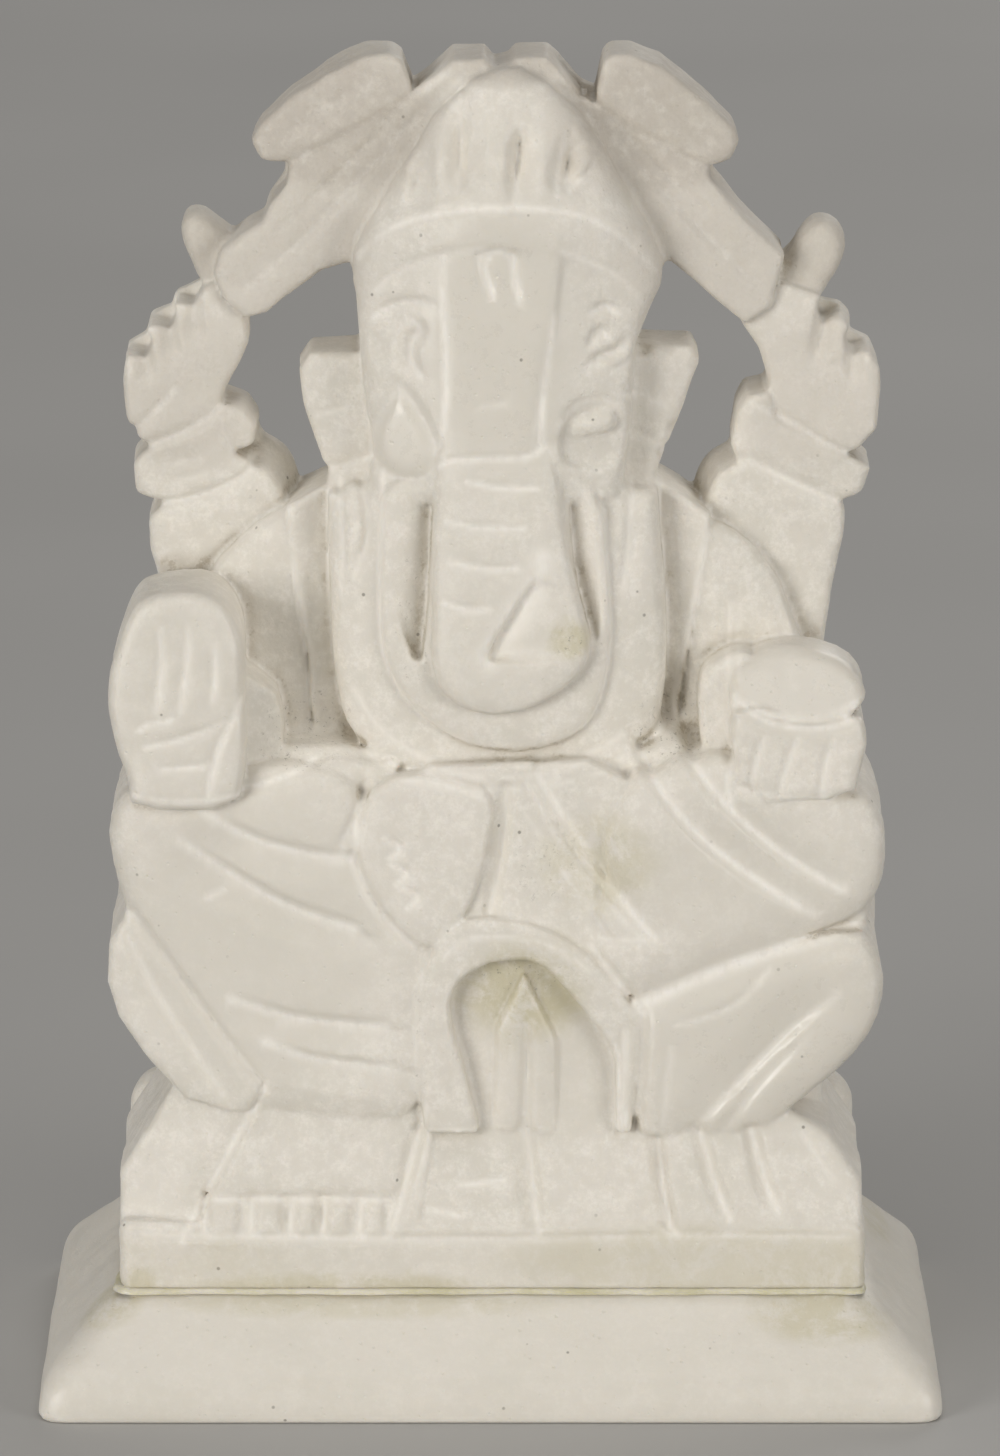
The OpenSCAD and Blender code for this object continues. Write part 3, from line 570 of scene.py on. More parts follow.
def carve_legs(st):
    """Crossed legs in a robe, knees out to both sides."""
    # viewer's left: the thigh and the broad front of the shin, one polished mass
    st.prism([(-32.8, 57.2), (-34.6, 54.8), (-34.9, 52), (-34.4, 48.8), (-33.6, 46.2), (-33.4, 44), (-30, 38),
        (-24, 28.5), (-20.5, 26), (-3.6, 26), (-3.6, 43.4), (-9, 50), (-11.4, 58.2), (-20, 60)], -15.3, 6,
        lean=(-0.06, 0.03), about=(-16, 42), edge=1, bulge=2, reach=5, blend=0.3)
    # strip of cloth down the outer edge of the shin
    st.prism([(-33.3, 45.6), (-31.6, 44.6), (-26.6, 37.6), (-20.6, 29.6), (-22, 26.4), (-28, 27.8),
        (-31.6, 31.8), (-34.2, 35.4), (-35.2, 38.6), (-35, 42.4)], -14.6, 6, lean=(-0.16, 0.02),
        about=(-27, 37), edge=0.4, soft=0, bulge=0.6, reach=1.6)
    st.strokes(0,
        ([(-32.6, 45.4), (-29.6, 41.2), (-24.6, 34.2), (-20.6, 29.2)], 0.5, 0.35, 0.6, (0.8, 0.8), 0.3),
        ([(-33.2, 43.2), (-31, 38.4), (-27, 32.2), (-24.6, 28.6)], 0.6, 2.4, 0.4, (0.3, 0.8), 0.6))
    # creases in the cloth over it, steep below and fading above
    for path, depth in (([(-26.4, 55.4), (-22, 52.6), (-17.5, 51.4), (-12.6, 50.9)], 0.75),
                        ([(-28.6, 52.6), (-23, 48.8), (-18.5, 46.2), (-12.4, 44.4)], 0.85),
                        ([(-23.8, 37.6), (-17.6, 35.6), (-9.6, 35.2)], 0.75),
                        ([(-20.6, 33.6), (-16.4, 31.9), (-8.6, 31.2)], 0.7)):
        st.cut(-2, path, 1.25 * depth, 0.5, 2.9, (0, 0.5), 1, 0.5)
    st.strokes(-2,
        ([(-26, 47), (-24.2, 47.8)], 0.12, 0.5, 0.5, (0, 0), 0.7),
        # where the blessing hand rests on the thigh
        ([(-33.2, 57.2), (-28, 56.4), (-22, 57.2), (-16, 59.4)], 0.5, 0.6, 0.8, (1, 0.2), 1))
    # viewer's right: thigh and knee
    st.prism([(9, 42), (11, 58), (20, 61), (30, 59), (34.2, 57), (35.9, 54.4), (36.3, 51.2), (35.8, 47.6),
        (33.9, 45), (27, 42.4), (20, 40), (12, 36.4)], -15.6, 6, lean=(0.05, 0.03), about=(22, 50), edge=0.9,
        bulge=2, reach=5, blend=0.3)
    st.strokes(-2,
        ([(13.6, 60), (17.8, 54.2), (22.6, 50), (29.6, 45.6)], 0.8, 2.8, 0.4, (1, 0.1), 1, 0.45),
        ([(18.1, 60), (21.6, 55.8), (26.4, 51.4), (32.4, 47.8)], 0.75, 1.8, 0.5, (1, 0.1), 1, 0.4),
        ([(22.6, 57.6), (28, 56.4), (33.8, 57)], 0.5, 0.8, 0.8, (0.5, 1), 1))
    # folded shin below it
    st.prism([(33.6, 44.7), (35.6, 41.8), (36.2, 38.4), (35.4, 34.8), (32.8, 31.2), (28.8, 27.8), (24.6, 24.2),
        (11, 23.8), (11, 37.2), (17.5, 40.2), (25, 42.8)], -16, 6, lean=(0.04, -0.02), about=(25, 34), edge=0.9,
        bulge=1.8, reach=4.5)
    st.strokes(-2,
        ([(14.4, 37.6), (22, 41), (33.8, 44.5)], 0.5, 0.4, 2.4, (0.5, 1), 1, 0.6),
        ([(32, 38.4), (28, 35.4), (22.4, 29.6), (18.4, 25)], 0.8, 0.5, 3.4, (0.1, 0.6), 0.5),
        ([(29.4, 34.6), (25, 30.2), (21.6, 25.2)], 0.5, 0.6, 2.4, (0.1, 0.6), 0.3),
        ([(25.6, 40.6), (22.6, 37.2), (17.2, 35.4)], 0.18, 0.6, 0.5, (0.4, 0.1), 0.7),
        ([(16.6, 33.4), (15.8, 25)], 0.12, 0.5, 0.5, (0.4, 0.1), 0.5))


def carve_arch(st):
    """Arch of the robe between the shins, cut off level above the cloth panels."""
    # stone left standing behind the gaps at its two shoulders and its left foot
    st.box((10.2, -14.2, 34.5), (15.4, -6, 41), edge=0.8, blend=0.3)
    st.box((-10, -12.8, 23), (-5, -4, 31), edge=0.5, blend=0.3)
    st.prism([(-6.3, 18), (-6.5, 39), (-5.4, 42.6), (-3.6, 44.8), (-1.2, 45.6), (4.3, 44.9), (8.6, 42.4),
        (11.3, 39.4), (14, 35.8), (13.5, 18)], -16, 4, bulge=0.5, reach=1.5)
    st.hollow([(-0.2, 14), (-1, 25), (-2.2, 30.5), (-4, 36.6), (-3.4, 39.2), (-1.6, 40.6), (0.6, 41.5),
        (4.6, 41.5), (7.8, 37.8), (11, 33.6), (11.7, 31), (11.5, 14)], -13.9, edge=0.5, lean=(0, 0.04), about=(4, 34),
        wall=2)
    # leaf shaped fold standing in the arch
    st.prism([(3.1, 40), (0.5, 34.6), (0.1, 20), (6.4, 20), (6.1, 33.8)], -14.9, 0, edge=0.3, soft=0, bulge=0.6,
        reach=2.2)
    st.cut(0, [(3.1, 37.6), (3.4, 32), (3, 21)], 0.8, 0.3, 0.4, (0.2, 1), 0.2)
    # slot between the arch and the right shin, soft groove beside the left one
    st.strokes(-4,
        ([(13.9, 35.6), (13.7, 31), (13.2, 24.8)], 1, 0.6, 0.7, (0.7, 0.9)),
        ([(12.4, 35), (12.2, 24.4)], 0.25, 0.3, 0.8, (1, 1), 0.8),
        ([(9.2, 42.8), (11.8, 39.4), (14, 36.4)], 0.45, 0.8, 0.4, (0.4, 1), 0.8),
        ([(-4.2, 44.4), (-6.3, 41.2), (-7, 37), (-6.8, 27)], 0.4, 0.6, 1.8, (0.6, 0.2), 0.3),
        ([(-4.4, 41.6), (-2.4, 43.8), (1.6, 43.8), (5.4, 43.2), (9, 40.6)], 0.1, 0.8, 0.8, (0, 0), 0.8))
    # everything below is cut back for the panels that lie in front
    st.hollow([(-9, 25), (14.6, 25), (14.6, 12), (-9, 12)], -14, edge=0.2, soft=0)


def carve_feet(st):
    """Feet and hanging cloth, sloping down to the front of the slab."""
    st.box((-12, -17, 9.8), (18, 0, 16.8), edge=1.1, blend=0)
    # foot turned out on the viewer's left, a flat instep running down to the toes
    st.prism([(-21, 30), (-28.3, 14.6), (-6.8, 14.6), (-4.6, 29.5)], -15.3, 6, lean=(0, 0.22), about=(-18, 23),
        edge=0.3, soft=0, blend=0.15)
    st.prism([(-28.6, 29.8), (-34.2, 20.4), (-34.2, 13), (-27, 13), (-20, 29.8)], -15, 6, lean=(-0.24, 0.22),
        about=(-26, 22), edge=0.6, soft=0)
    st.cut(-3, [(-20.4, 29.8), (-28.4, 15)], 0.8, 0.3, 1.6, (0, 0), 1)
    # cloth panels in the middle
    st.prism([(-6, 26.6), (-8.8, 14.6), (17.8, 14.6), (16.4, 26.4)], -15.3, 6, lean=(0, 0.22), about=(3, 21),
        edge=0.3, soft=0)
    st.strokes(-3,
        ([(-5.8, 27.6), (-8.9, 16.2)], 0.9, 0.4, 1.2, (0, 0), 0.8),
        ([(3.2, 26.6), (3.8, 20), (4.7, 15)], 1, 0.4, 1.6, (0, 0), 0.7))
    # foot on the viewer's right with its broad toes
    st.prism([(15.2, 26.6), (16.4, 14.4), (34.4, 14.4), (34.3, 20.2), (31.4, 24.6), (27, 27.2)], -15.7, 6,
        lean=(0.02, 0.22), about=(24, 21), edge=0.6, soft=0, bulge=0.5, reach=2)
    st.strokes(-3,
        ([(15.2, 24), (15.7, 19.6), (16.6, 16.2)], 1, 1.1, 0.4, (0.6, 0.6), 0.9),
        ([(19.2, 25.2), (20.4, 20.8), (22, 16.9)], 1.1, 0.4, 1.2, (0.7, 0.2), 0.9),
        ([(24, 25), (24.9, 21), (26.6, 17.4)], 1.1, 0.4, 1.2, (0.7, 0.2), 0.9),
        ([(28.6, 24.8), (31.6, 20.4)], 0.4, 0.35, 0.9, (0.4, 0.1), 0.6))
    # rasped ledge in front of the feet
    st.cut(-13, [(-32, 15.7), (-18, 15.3), (2, 15.2), (20, 15.6), (33, 15.4)], 0.4, 0.7, 0.5, (0.6, 0.6), 0.7)
    # square toes of the other foot
    st.cut(-9, [(-27, 19.1), (-18, 18.9), (-9.4, 19.1)], 0.4, 1.2, 0.4, (0.4, 0.4), 0.6)
    top, sole, ends = 18.6, 16, (0.7, 0.7)
    for left, right in ((-26.2, -22.9), (-21.9, -19), (-18.2, -15.8), (-15.2, -12.6), (-11.8, -9.4)):
        st.strokes(-9,
            ([(left, top), (left - 0.2, sole)], 0.9, 0.4, 0.3, ends, 0.8),
            ([(left, 18.7), (right, top)], 0.6, 0.3, 0.3, ends, 0.9),
            ([(right, top), (right, sole)], 0.8, 0.4, 0.4, ends, 0.3))
    st.strokes(-9,
        ([(-2.6, 20), (1.4, 20.4)], 0.2, 0.3, 0.5, (0.2, 0.2), 1),
        ([(-5.6, 17.8), (-2.8, 17.2)], 0.2, 0.5, 0.3, (0.2, 0.2), 1))


def carve_lap(st):
    """Cloth between the knees, above the arch."""
    # cloth across the lap, pleated towards the arch
    st.prism([(-12.6, 59), (-10, 43), (-5, 40), (14, 36), (17, 44), (16, 60)], -14.3, 4, lean=(0, 0.08),
        about=(2, 50), blend=0.2)
    st.cut(-3, [(-10.9, 59.6), (-12.4, 54), (-14.2, 51)], 0.6, 0.4, 0.9, (0, 0), 0.4)
    # knotted end of the sash
    st.prism([(-10.4, 58), (-12, 54.4), (-12.4, 50.6), (-10.8, 46.6), (-7.4, 43), (-4.4, 42), (-2.2, 45.4),
        (-0.2, 51), (0.6, 57.4), (-5, 58.8)], -15.3, 4, lean=(0, 0.09), about=(-6, 50), edge=0.4, bulge=0.5,
        reach=1.6)
    st.cut(-4, [(-12.2, 53.8), (-12.5, 50.6), (-10.6, 46.4), (-7.2, 42.8)], 0.5, 0.5, 0.4, (0.4, 0.8), 0.6)
    for x, z in ((-8.8, 52.2), (-8.2, 49.8), (-7.2, 47.6)):
        st.cut(-4, [(x - 0.8, z + 0.6), (x + 0.9, z - 0.2), (x - 0.4, z - 1.2)], 0.4, 0.4, 0.7, (0.3, 0.4), 1)
    st.cut(-4, [(-8, 58.2), (-4, 57.8), (-0.4, 56.4)], 0.2, 0.4, 0.7, (0, 0), 0.9)
    # pleats
    st.strokes(-3,
        ([(1.5, 57.2), (1, 51.4), (-0.2, 44.8)], 0.9, 0.5, 0.9, (0.7, 0.6), 0.5),
        ([(4.4, 58.4), (8.6, 51.3), (15, 43.6)], 0.9, 2.2, 0.4, (0.4, 0.5), 1, 0.45),
        ([(3, 58.4), (7, 51), (13.6, 43.8)], 0.7, 0.4, 1.4, (0.3, 0.5), 0.7),
        ([(3.2, 54.8), (7.2, 48.6), (11.6, 42.6)], 0.3, 0.5, 1.2, (0.1, 0.5), 0.6),
        ([(9.4, 43.4), (14.4, 43.6)], 0.2, 0.3, 0.5, (0.1, 0.3), 0.8))


def carve_front_hands(st):
    """The lower hands: one raised in blessing, the other holding a sweet."""
    # arm behind the palm
    st.prism([(-24, 68.6), (-22.2, 67.4), (-19.6, 65.4), (-19, 63), (-18.6, 55), (-24, 55)], -12.4, 4,
        lean=(0.6, 0.04), about=(-22, 62), edge=0.4, soft=0)
    # palm raised in blessing
    st.prism([(-30.8, 75.4), (-27.2, 75.9), (-24.4, 75.2), (-23, 73.2), (-22.4, 70.6), (-22.4, 66.6),
        (-22.2, 60), (-23, 55.6), (-32.6, 55.6), (-33, 58.6), (-34.2, 61.6), (-34.8, 65.6), (-34.6, 68.4),
        (-33.4, 72.2), (-32.2, 74.6)], -16, -4, lean=(0, 0.04), about=(-28, 66), edge=0.8, bulge=0.9, reach=2.4,
        blend=0.15)
    for path in ([(-29.8, 72.8), (-29.9, 68.6), (-30.4, 64.8)], [(-27.3, 73), (-27.6, 69.6), (-28.1, 65)],
            [(-25, 71.4), (-24.9, 68.6), (-25.2, 65.8)]):
        st.cut(-9, path, 0.32, 0.5, 0.7, (0, 0.4), 0.7)
    st.strokes(-9,
        ([(-31.9, 63.2), (-30.7, 64), (-28.8, 64.2)], 0.22, 0.3, 0.6, (0.2, 0.2), 1),
        ([(-31.4, 61.6), (-28.6, 62.2), (-25.8, 63.2), (-23.8, 64)], 0.28, 0.3, 0.8, (0.2, 0.2), 1),
        ([(-29.8, 59.5), (-27.8, 59.8), (-25.4, 59.9)], 0.25, 0.3, 0.7, (0.1, 0.2), 1),
        ([(-22.6, 66), (-23.4, 64), (-24.6, 62), (-25.2, 60), (-25.6, 57)], 0.35, 0.6, 0.3, (0.1, 0.5), 0.9))
    # arm and hand holding the sweet
    st.prism([(18.9, 66.4), (20.4, 68.4), (22.4, 69.3), (24, 69), (24.6, 66), (25.4, 57.4), (20.4, 57.4),
        (19.2, 60)], -11.2, 2, lean=(-0.3, 0.25), about=(23, 64), bulge=0.4, reach=1.5)
    st.prism([(21.6, 64.6), (24, 65.2), (28, 64.4), (33.6, 64.8), (34.3, 62.2), (34, 60), (33.2, 56.4),
        (22.6, 56.2)], -15.4, 2, lean=(0.02, 0.05), about=(27, 60), edge=0.7, bulge=0.5, reach=1.6)
    # the sweet, its top rubbed to a smooth slope
    st.prism([(21.8, 64.2), (21.8, 66.8), (23.6, 68.9), (27.4, 69.6), (31, 69), (33.6, 67.4), (34.4, 65),
        (32.2, 63.6), (28.6, 63), (25, 63.4)], -14.7, -4, lean=(0, 0.95), about=(28, 64.4), edge=0.7, bulge=0.5,
        reach=1.6)
    st.cut(-8, [(22.4, 65.4), (25.2, 63.7), (28.6, 63.1), (32.2, 63.5), (34.2, 64.8)], 0.5, 0.4, 0.7,
        (0.4, 1), 1)
    for a, b, c, d in ((24.9, 62.4, 23.8, 57.4), (28, 62.2, 26.4, 57.2), (31.2, 62.2, 30.2, 57.2)):
        st.cut(-9, [(a, b), ((a + c) / 2 - 0.2, (b + d) / 2), (c, d)], 0.4, 0.35, 0.9, (0.3, 0.6), 0.7)
    st.cut(-9, [(22.4, 62), (21.6, 58), (21.9, 56.4)], 0.3, 0.3, 0.8, (0.3, 0.8), 0.9)
    st.cut(-3, [(19.9, 67.6), (21.6, 68.8), (24, 69.6)], 0.25, 0.4, 0.4, (0.3, 0.3))


def weather(st):
    """Hand wear: faint unevenness all over, coarse rasp marks on the parts left unpolished."""
    x, _, z = st.grid(ALL)
    # the axes and crown, the raised arms and the foot of the carving were never polished
    above, outer, foot = z - 108, np.abs(x - 0.5) - 16 - np.maximum(70 - z, 0), 0.55 * (30 - z)
    rasped = np.clip((np.maximum(above, np.maximum(outer, foot)) + 1) / 3, 0, 1)
    st.d += st.noise(6, 11) * F(0.10) + st.noise(2.2, 12) * F(0.045)
    st.d += rasped * (st.noise(1.3, 13) * F(0.06) + st.noise(2.8, 14) * F(0.07))


def carve():
    """The whole figure, in the order in which each part overlaps the one before."""
    st = Stone(FIGURE_LOW, FIGURE_HIGH, FIGURE_STEP)
    for part in (carve_back, carve_axes, carve_rear_arms, carve_torso, carve_head, carve_crown, carve_trunk,
                 carve_legs, carve_lap, carve_arch, carve_feet, carve_front_hands, weather):
        part(st)
    st.d = soft_max(st.d, F(UNDERSIDE) - st.grid(ALL)[2], 0.4)
    return st


# ---- meshes, painted wear and painted shade ----

def sample(st, points):
    """The stone's distance at each point, read between grid points."""
    q = (points - st.low) / st.step
    i = np.clip(np.floor(q).astype(int), 0, np.array(st.n) - 2)
    t = np.clip(q - i, 0, 1)
    out = np.zeros(len(points))
    for corner in np.ndindex(2, 2, 2):
        share = 1.0
        for axis, up in enumerate(corner):
            share = share * (t[:, axis] if up else 1 - t[:, axis])
        out += share * st.d[tuple((i + corner).T)]
    return out


def outward(st, points, reach=0.5):
    """Unit normals of the stone at each point."""
    g = np.stack([sample(st, points + e) - sample(st, points - e) for e in np.eye(3) * reach], 1)
    return g / np.maximum(np.linalg.norm(g, axis=1, keepdims=True), 1e-6)


def new_object(name, verts, faces):
    mesh = bpy.data.meshes.new(name)
    mesh.from_pydata(verts, [], faces)
    obj = bpy.data.objects.new(name, mesh)
    bpy.context.scene.collection.objects.link(obj)
    return obj


def shade_smooth(mesh):
    mesh.polygons.foreach_set("use_smooth", [True] * len(mesh.polygons))


def stone_mesh(name, st, triangles):
    """The carved stone as a closed mesh of about the given number of triangles."""
    verts, quads = surface_nets(st.d, st.low, st.step)
    obj = new_object(name, (verts * MM).tolist(), quads.tolist())
    raw = obj.data
    settle = obj.modifiers.new("settle", "SMOOTH")
    settle.factor, settle.iterations = 0.35, 1
    thin = obj.modifiers.new("thin", "DECIMATE")
    thin.ratio = min(1.0, triangles / (2 * len(quads)))
    bpy.context.view_layer.update()
    whole = bpy.data.meshes.new_from_object(obj.evaluated_get(bpy.context.evaluated_depsgraph_get()))
    obj.modifiers.clear()
    obj.data = whole
    whole.name = name
    bpy.data.meshes.remove(raw)
    shade_smooth(whole)
    return obj


def patches(p, spots):
    """How strongly each point lies in any of some soft egg-shaped spots: (centre, radii, strength)."""
    share = np.zeros(len(p))
    for at, radii, strength in spots:
        k = (((p - at) / radii) ** 2).sum(1)
        share = np.maximum(share, strength * np.clip(1.6 - 1.2 * k, 0, 1))
    return share


def wear_and_shade_maps(obj, st, polished=(), stained=(), dirty=(), aged_and_shaded=()):
    """Where the stone is bruised white by tools, rubbed smooth, hollow, on an edge, stained or dirty, and where the
    rear layer gets painted shade.
    """
    mesh = obj.data
    flat = np.empty(len(mesh.vertices) * 3)
    mesh.vertices.foreach_get("co", flat)
    p = flat.reshape(-1, 3) / MM
    n = outward(st, p)
    hollow, edge, chalk = np.zeros((3, len(p)))
    # how enclosed each point is, which the material darkens as painted shade
    for r in (0.9, 2.0, 4.0):
        hollow += np.clip(1 - sample(st, p + n * r) / r, 0, 1) / 3
    # how far each point stands out on an edge, which the material whitens, partly as a painted highlight
    for r in (0.6, 1.2):
        edge += np.clip(1 + sample(st, p - n * r) / r, 0, 1) / 2
    faces_front = n[:, 1] < 0.2
    seen = p[:, [0, 2]]
    for pts, width, strength in st.marks:
        lo, hi = pts.min(0) - 3 * width, pts.max(0) + 3 * width
        near = np.where(((seen > lo) & (seen < hi)).all(1) & faces_front)[0]
        if len(near):
            dist, _, _ = path_distance(pts, *seen[near].T)
            chalk[near] = np.maximum(chalk[near], strength * np.exp(-(dist / width) ** 2))
    for name, values in (("hollow", hollow), ("edge", edge), ("chalk", chalk), ("polish", patches(p, polished)),
                         ("stain", patches(p, stained)), ("dirt", patches(p, dirty)), ("aged_and_shaded", patches(p, aged_and_shaded))):
        layer = mesh.attributes.new(name, "FLOAT", "POINT")
        layer.data.foreach_set("value", np.clip(values, 0, 1).astype(F))


# ---- materials ----

class Nodes:
    """Small helper that adds and links shader nodes."""

    def __init__(self, name):
        self.mat = bpy.data.materials.new(name)
        self.mat.use_nodes = True
        self.tree = self.mat.node_tree
        self.shader = self.tree.nodes["Principled BSDF"]
        self.place = self.tree.nodes.new("ShaderNodeTexCoord").outputs["Object"]

    def link(self, source, target):
        if isinstance(source, (int, float, tuple)):
            target.default_value = source
        else:
            self.tree.links.new(source, target)

    def add(self, kind, settings=(), **inputs):
        """A new node, with its settings, and its inputs by name (an underscore stands for a space)."""
        node = self.tree.nodes.new("ShaderNode" + kind)
        for key, value in dict(settings).items():
            setattr(node, key, value)
        for key, value in inputs.items():
            self.link(value, node.inputs[key.replace("_", " ")])
        return node

    def noise(self, scale, detail=3.0, rough=0.55, distortion=0.0, stretch=None):
        place = self.place
        if stretch:
            place = self.add("Mapping", Vector=place, Scale=stretch).outputs[0]
        node = self.add("TexNoise", Vector=place, Scale=scale, Detail=detail, Roughness=rough,
                        Distortion=distortion)
        return node.outputs["Fac"]

    def cells(self, scale):
        node = self.add("TexVoronoi", {"feature": "F1"}, Vector=self.place, Scale=scale)
        return node.outputs["Distance"]

    def painted(self, name):
        return self.add("Attribute", {"attribute_name": name}).outputs["Fac"]

    def ramp(self, source, low, high, to_low=0.0, to_high=1.0):
        node = self.add("MapRange", {"interpolation_type": "SMOOTHSTEP"}, Value=source, From_Min=low,
                        From_Max=high, To_Min=to_low, To_Max=to_high)
        return node.outputs[0]

    def math(self, operation, a, b, clamp=False):
        node = self.add("Math", {"operation": operation, "use_clamp": clamp})
        self.link(a, node.inputs[0])
        self.link(b, node.inputs[1])
        return node.outputs[0]

    def times(self, a, b):
        return self.math("MULTIPLY", a, b)

    def mix(self, share, a, b):
        return self.add("Mix", {"data_type": "RGBA"}, Factor=share, A=a, B=b).outputs["Result"]

    def bump(self, height, strength, distance, under=None):
        node = self.add("Bump", Strength=strength, Distance=distance, Height=height)
        if under is not None:
            self.link(under, node.inputs["Normal"])
        return node.outputs["Normal"]

    def surface(self, **inputs):
        """What goes into the shader's own sockets."""
        for key, value in inputs.items():
            self.link(value, self.shader.inputs[key.replace("_", " ")])


def stone_material(name):
    """Milky soft stone: warm grey where it is rubbed smooth, chalk white where the tools bruised it."""
    m = Nodes(name)
    rubbed, body = (0.735, 0.70, 0.625, 1), (0.775, 0.735, 0.665, 1)
    chalk_white_and_highlight, shaded_aged_grey = (0.92, 0.885, 0.82, 1), (0.42, 0.37, 0.31, 1)
    shade_and_grime, ochre = (0.36, 0.30, 0.20, 1), (0.52, 0.47, 0.27, 1)
    soot, soil = (0.10, 0.085, 0.06, 1), (0.14, 0.12, 0.08, 1)
    chalk, polish, hollow, edge = (m.painted(k) for k in ("chalk", "polish", "hollow", "edge"))
    clouds = m.noise(85, 5, 0.6, 0.6)
    veil = m.noise(520, 6, 0.75)
    mottle = m.noise(2300, 3, 0.65)
    scratch = m.noise(1100, 4, 0.65, 0.2, (1.0, 1.0, 0.35))
    unpolished = m.math("SUBTRACT", 1.0, m.times(polish, 0.9))
    colour = m.mix(m.ramp(clouds, 0.35, 0.68), body, rubbed)
    colour = m.mix(m.times(polish, 0.6), colour, rubbed)
    # bruised white: rasped areas and cut lines; raised edges are whitened too, partly bruised stone and partly a
    # painted highlight
    rasp = m.times(m.times(m.ramp(veil, 0.40, 0.64), m.ramp(mottle, 0.30, 0.62, 0.15, 0.6)), unpolished)
    rim = m.times(m.ramp(edge, 0.20, 0.55), m.ramp(scratch, 0.3, 0.6, 0.35, 0.9))
    line = m.times(chalk, m.ramp(scratch, 0.3, 0.6, 0.6, 1.0))
    white = m.math("MAXIMUM", m.math("MAXIMUM", line, rim), rasp, clamp=True)
    colour = m.mix(white, colour, chalk_white_and_highlight)
    # painted shade: hollows are darkened, and in patches the deepest are darker still, lodged dirt on top of the
    # painted shade
    colour = m.mix(m.ramp(hollow, 0.30, 0.85, 0.0, 0.28), colour, shade_and_grime)
    deep = m.times(m.ramp(hollow, 0.45, 0.75), m.ramp(m.noise(700, 5, 0.75), 0.50, 0.62))
    colour = m.mix(m.times(deep, 0.45), colour, shade_and_grime)
    speck = m.times(m.ramp(m.cells(420), 0.09, 0.04), m.ramp(m.noise(130, 2), 0.54, 0.64))
    colour = m.mix(m.times(speck, 0.6), colour, soot)
    # old oil and resin stains, painted shade on the rear layer, partly stone gone grey with age, and soil
    stain = m.times(m.painted("stain"), m.ramp(m.noise(260, 6, 0.75, 0.3), 0.34, 0.58))
    colour = m.mix(m.times(stain, 0.58), colour, ochre)
    colour = m.mix(m.times(m.painted("aged_and_shaded"), m.ramp(veil, 0.3, 0.6, 0.25, 0.6)), colour, shaded_aged_grey)
    dirt = m.times(m.painted("dirt"), m.ramp(m.noise(1900, 5, 0.8), 0.58, 0.65))
    colour = m.mix(m.times(dirt, 0.55), colour, soil)
    # rubbed stone has a dull gloss, bruised stone none
    gloss = m.math("SUBTRACT", 0.58, m.times(polish, 0.28))
    gloss = m.math("ADD", gloss, m.times(white, 0.14))
    gloss = m.math("ADD", gloss, m.ramp(veil, 0.3, 0.7, -0.05, 0.05), clamp=True)
    tool = m.times(m.noise(480, 3, 0.5, 0.3, (1.0, 1.0, 0.4)), unpolished)
    grain = m.times(m.noise(1900, 4, 0.75), unpolished)
    pits = m.ramp(m.cells(900), 0.16, 0.04, 0.0, -1.0)
    relief = m.bump(grain, 0.55, 0.00014, m.bump(tool, 0.6, 0.0003))
    m.surface(Base_Color=colour, Roughness=gloss, Normal=m.bump(pits, 0.4, 0.00010, relief), IOR=1.5,
              Subsurface_Weight=0.30, Subsurface_Radius=(1.0, 0.85, 0.65), Subsurface_Scale=0.0008)
    return m.mat


def resin_material():
    """Clear adhesive gone yellow, dusty on top."""
    m = Nodes("resin")
    yellow, dusty = (0.56, 0.53, 0.37, 1), (0.74, 0.70, 0.61, 1)
    colour = m.mix(m.ramp(m.noise(120, 5, 0.7), 0.35, 0.65), yellow, dusty)
    m.surface(Base_Color=colour, Roughness=m.ramp(m.noise(600, 3), 0.3, 0.7, 0.28, 0.55),
              Normal=m.bump(m.noise(900, 3), 0.4, 0.0001),
              Subsurface_Weight=0.5, Subsurface_Radius=(1.0, 0.9, 0.4), Subsurface_Scale=0.001)
    return m.mat


# ---- pieces ----

def make_plinth():
    """Block with a short vertical lip, sloping shoulders and a flat top, its edges rubbed and chipped."""
    _, (half_x, half_y, top) = ([c / MM for c in corner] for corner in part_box("base_plinth"))
    st = Stone((-half_x - 2, -half_y - 2, -1.2), (half_x + 2, half_y + 2, top + 1.2), PLINTH_STEP)
    x, y, z = st.grid(ALL)
    lip, run_x, run_y = 3.3, 6.7, 7.6       # height of the lip, and how far the shoulders run in, mm
    rise = top - lip
    shoulder_x = ((np.abs(x) - half_x) * rise + (z - lip) * run_x) / math.hypot(rise, run_x)
    shoulder_y = ((np.abs(y) - half_y) * rise + (z - lip) * run_y) / math.hypot(rise, run_y)
    walls = soft_max(np.abs(x) - half_x, np.abs(y) - half_y, 2.6)
    body = soft_max(walls, soft_max(shoulder_x, shoulder_y, 2.2), 1.8)
    body = soft_max(body, z - top, 1.0)
    st.d = soft_max(body, -z + 0 * x, 0.5).astype(F)
    wave = st.noise(14, 31) * F(0.16) + st.noise(5, 32) * F(0.10) + st.noise(1.8, 33) * F(0.035)
    st.d += wave * np.clip(z / F(2.5), 0, 1)
    for at, r in (((-41.6, -25.2, 3.6), 1.5), ((-41.9, -22.6, 4.4), 1.1), ((41.8, -25.2, 1.0), 1.0),
                  ((36.5, -25.4, 3.6), 0.7), ((41.4, 24.9, 4.2), 1.6), ((-30.2, 25.3, 3.9), 1.0),
                  ((12.4, 25.3, 0.4), 0.9)):
        st.chip(at, r, 0.5)
    obj = stone_mesh("plinth_block", st, PLINTH_TRIANGLES)
    wear_and_shade_maps(obj, st, polished=(((0, 0, 5), (80, 60, 20), 0.75),), stained=(
        ((-36, -17, 9.6), (4, 4, 3), 0.8), ((31, -19, 9), (7, 4, 3), 0.8),
        ((-12, -18.4, 9.6), (18, 2.4, 1.4), 0.5), ((36, 12, 9), (4, 7, 3), 0.5)))
    return obj


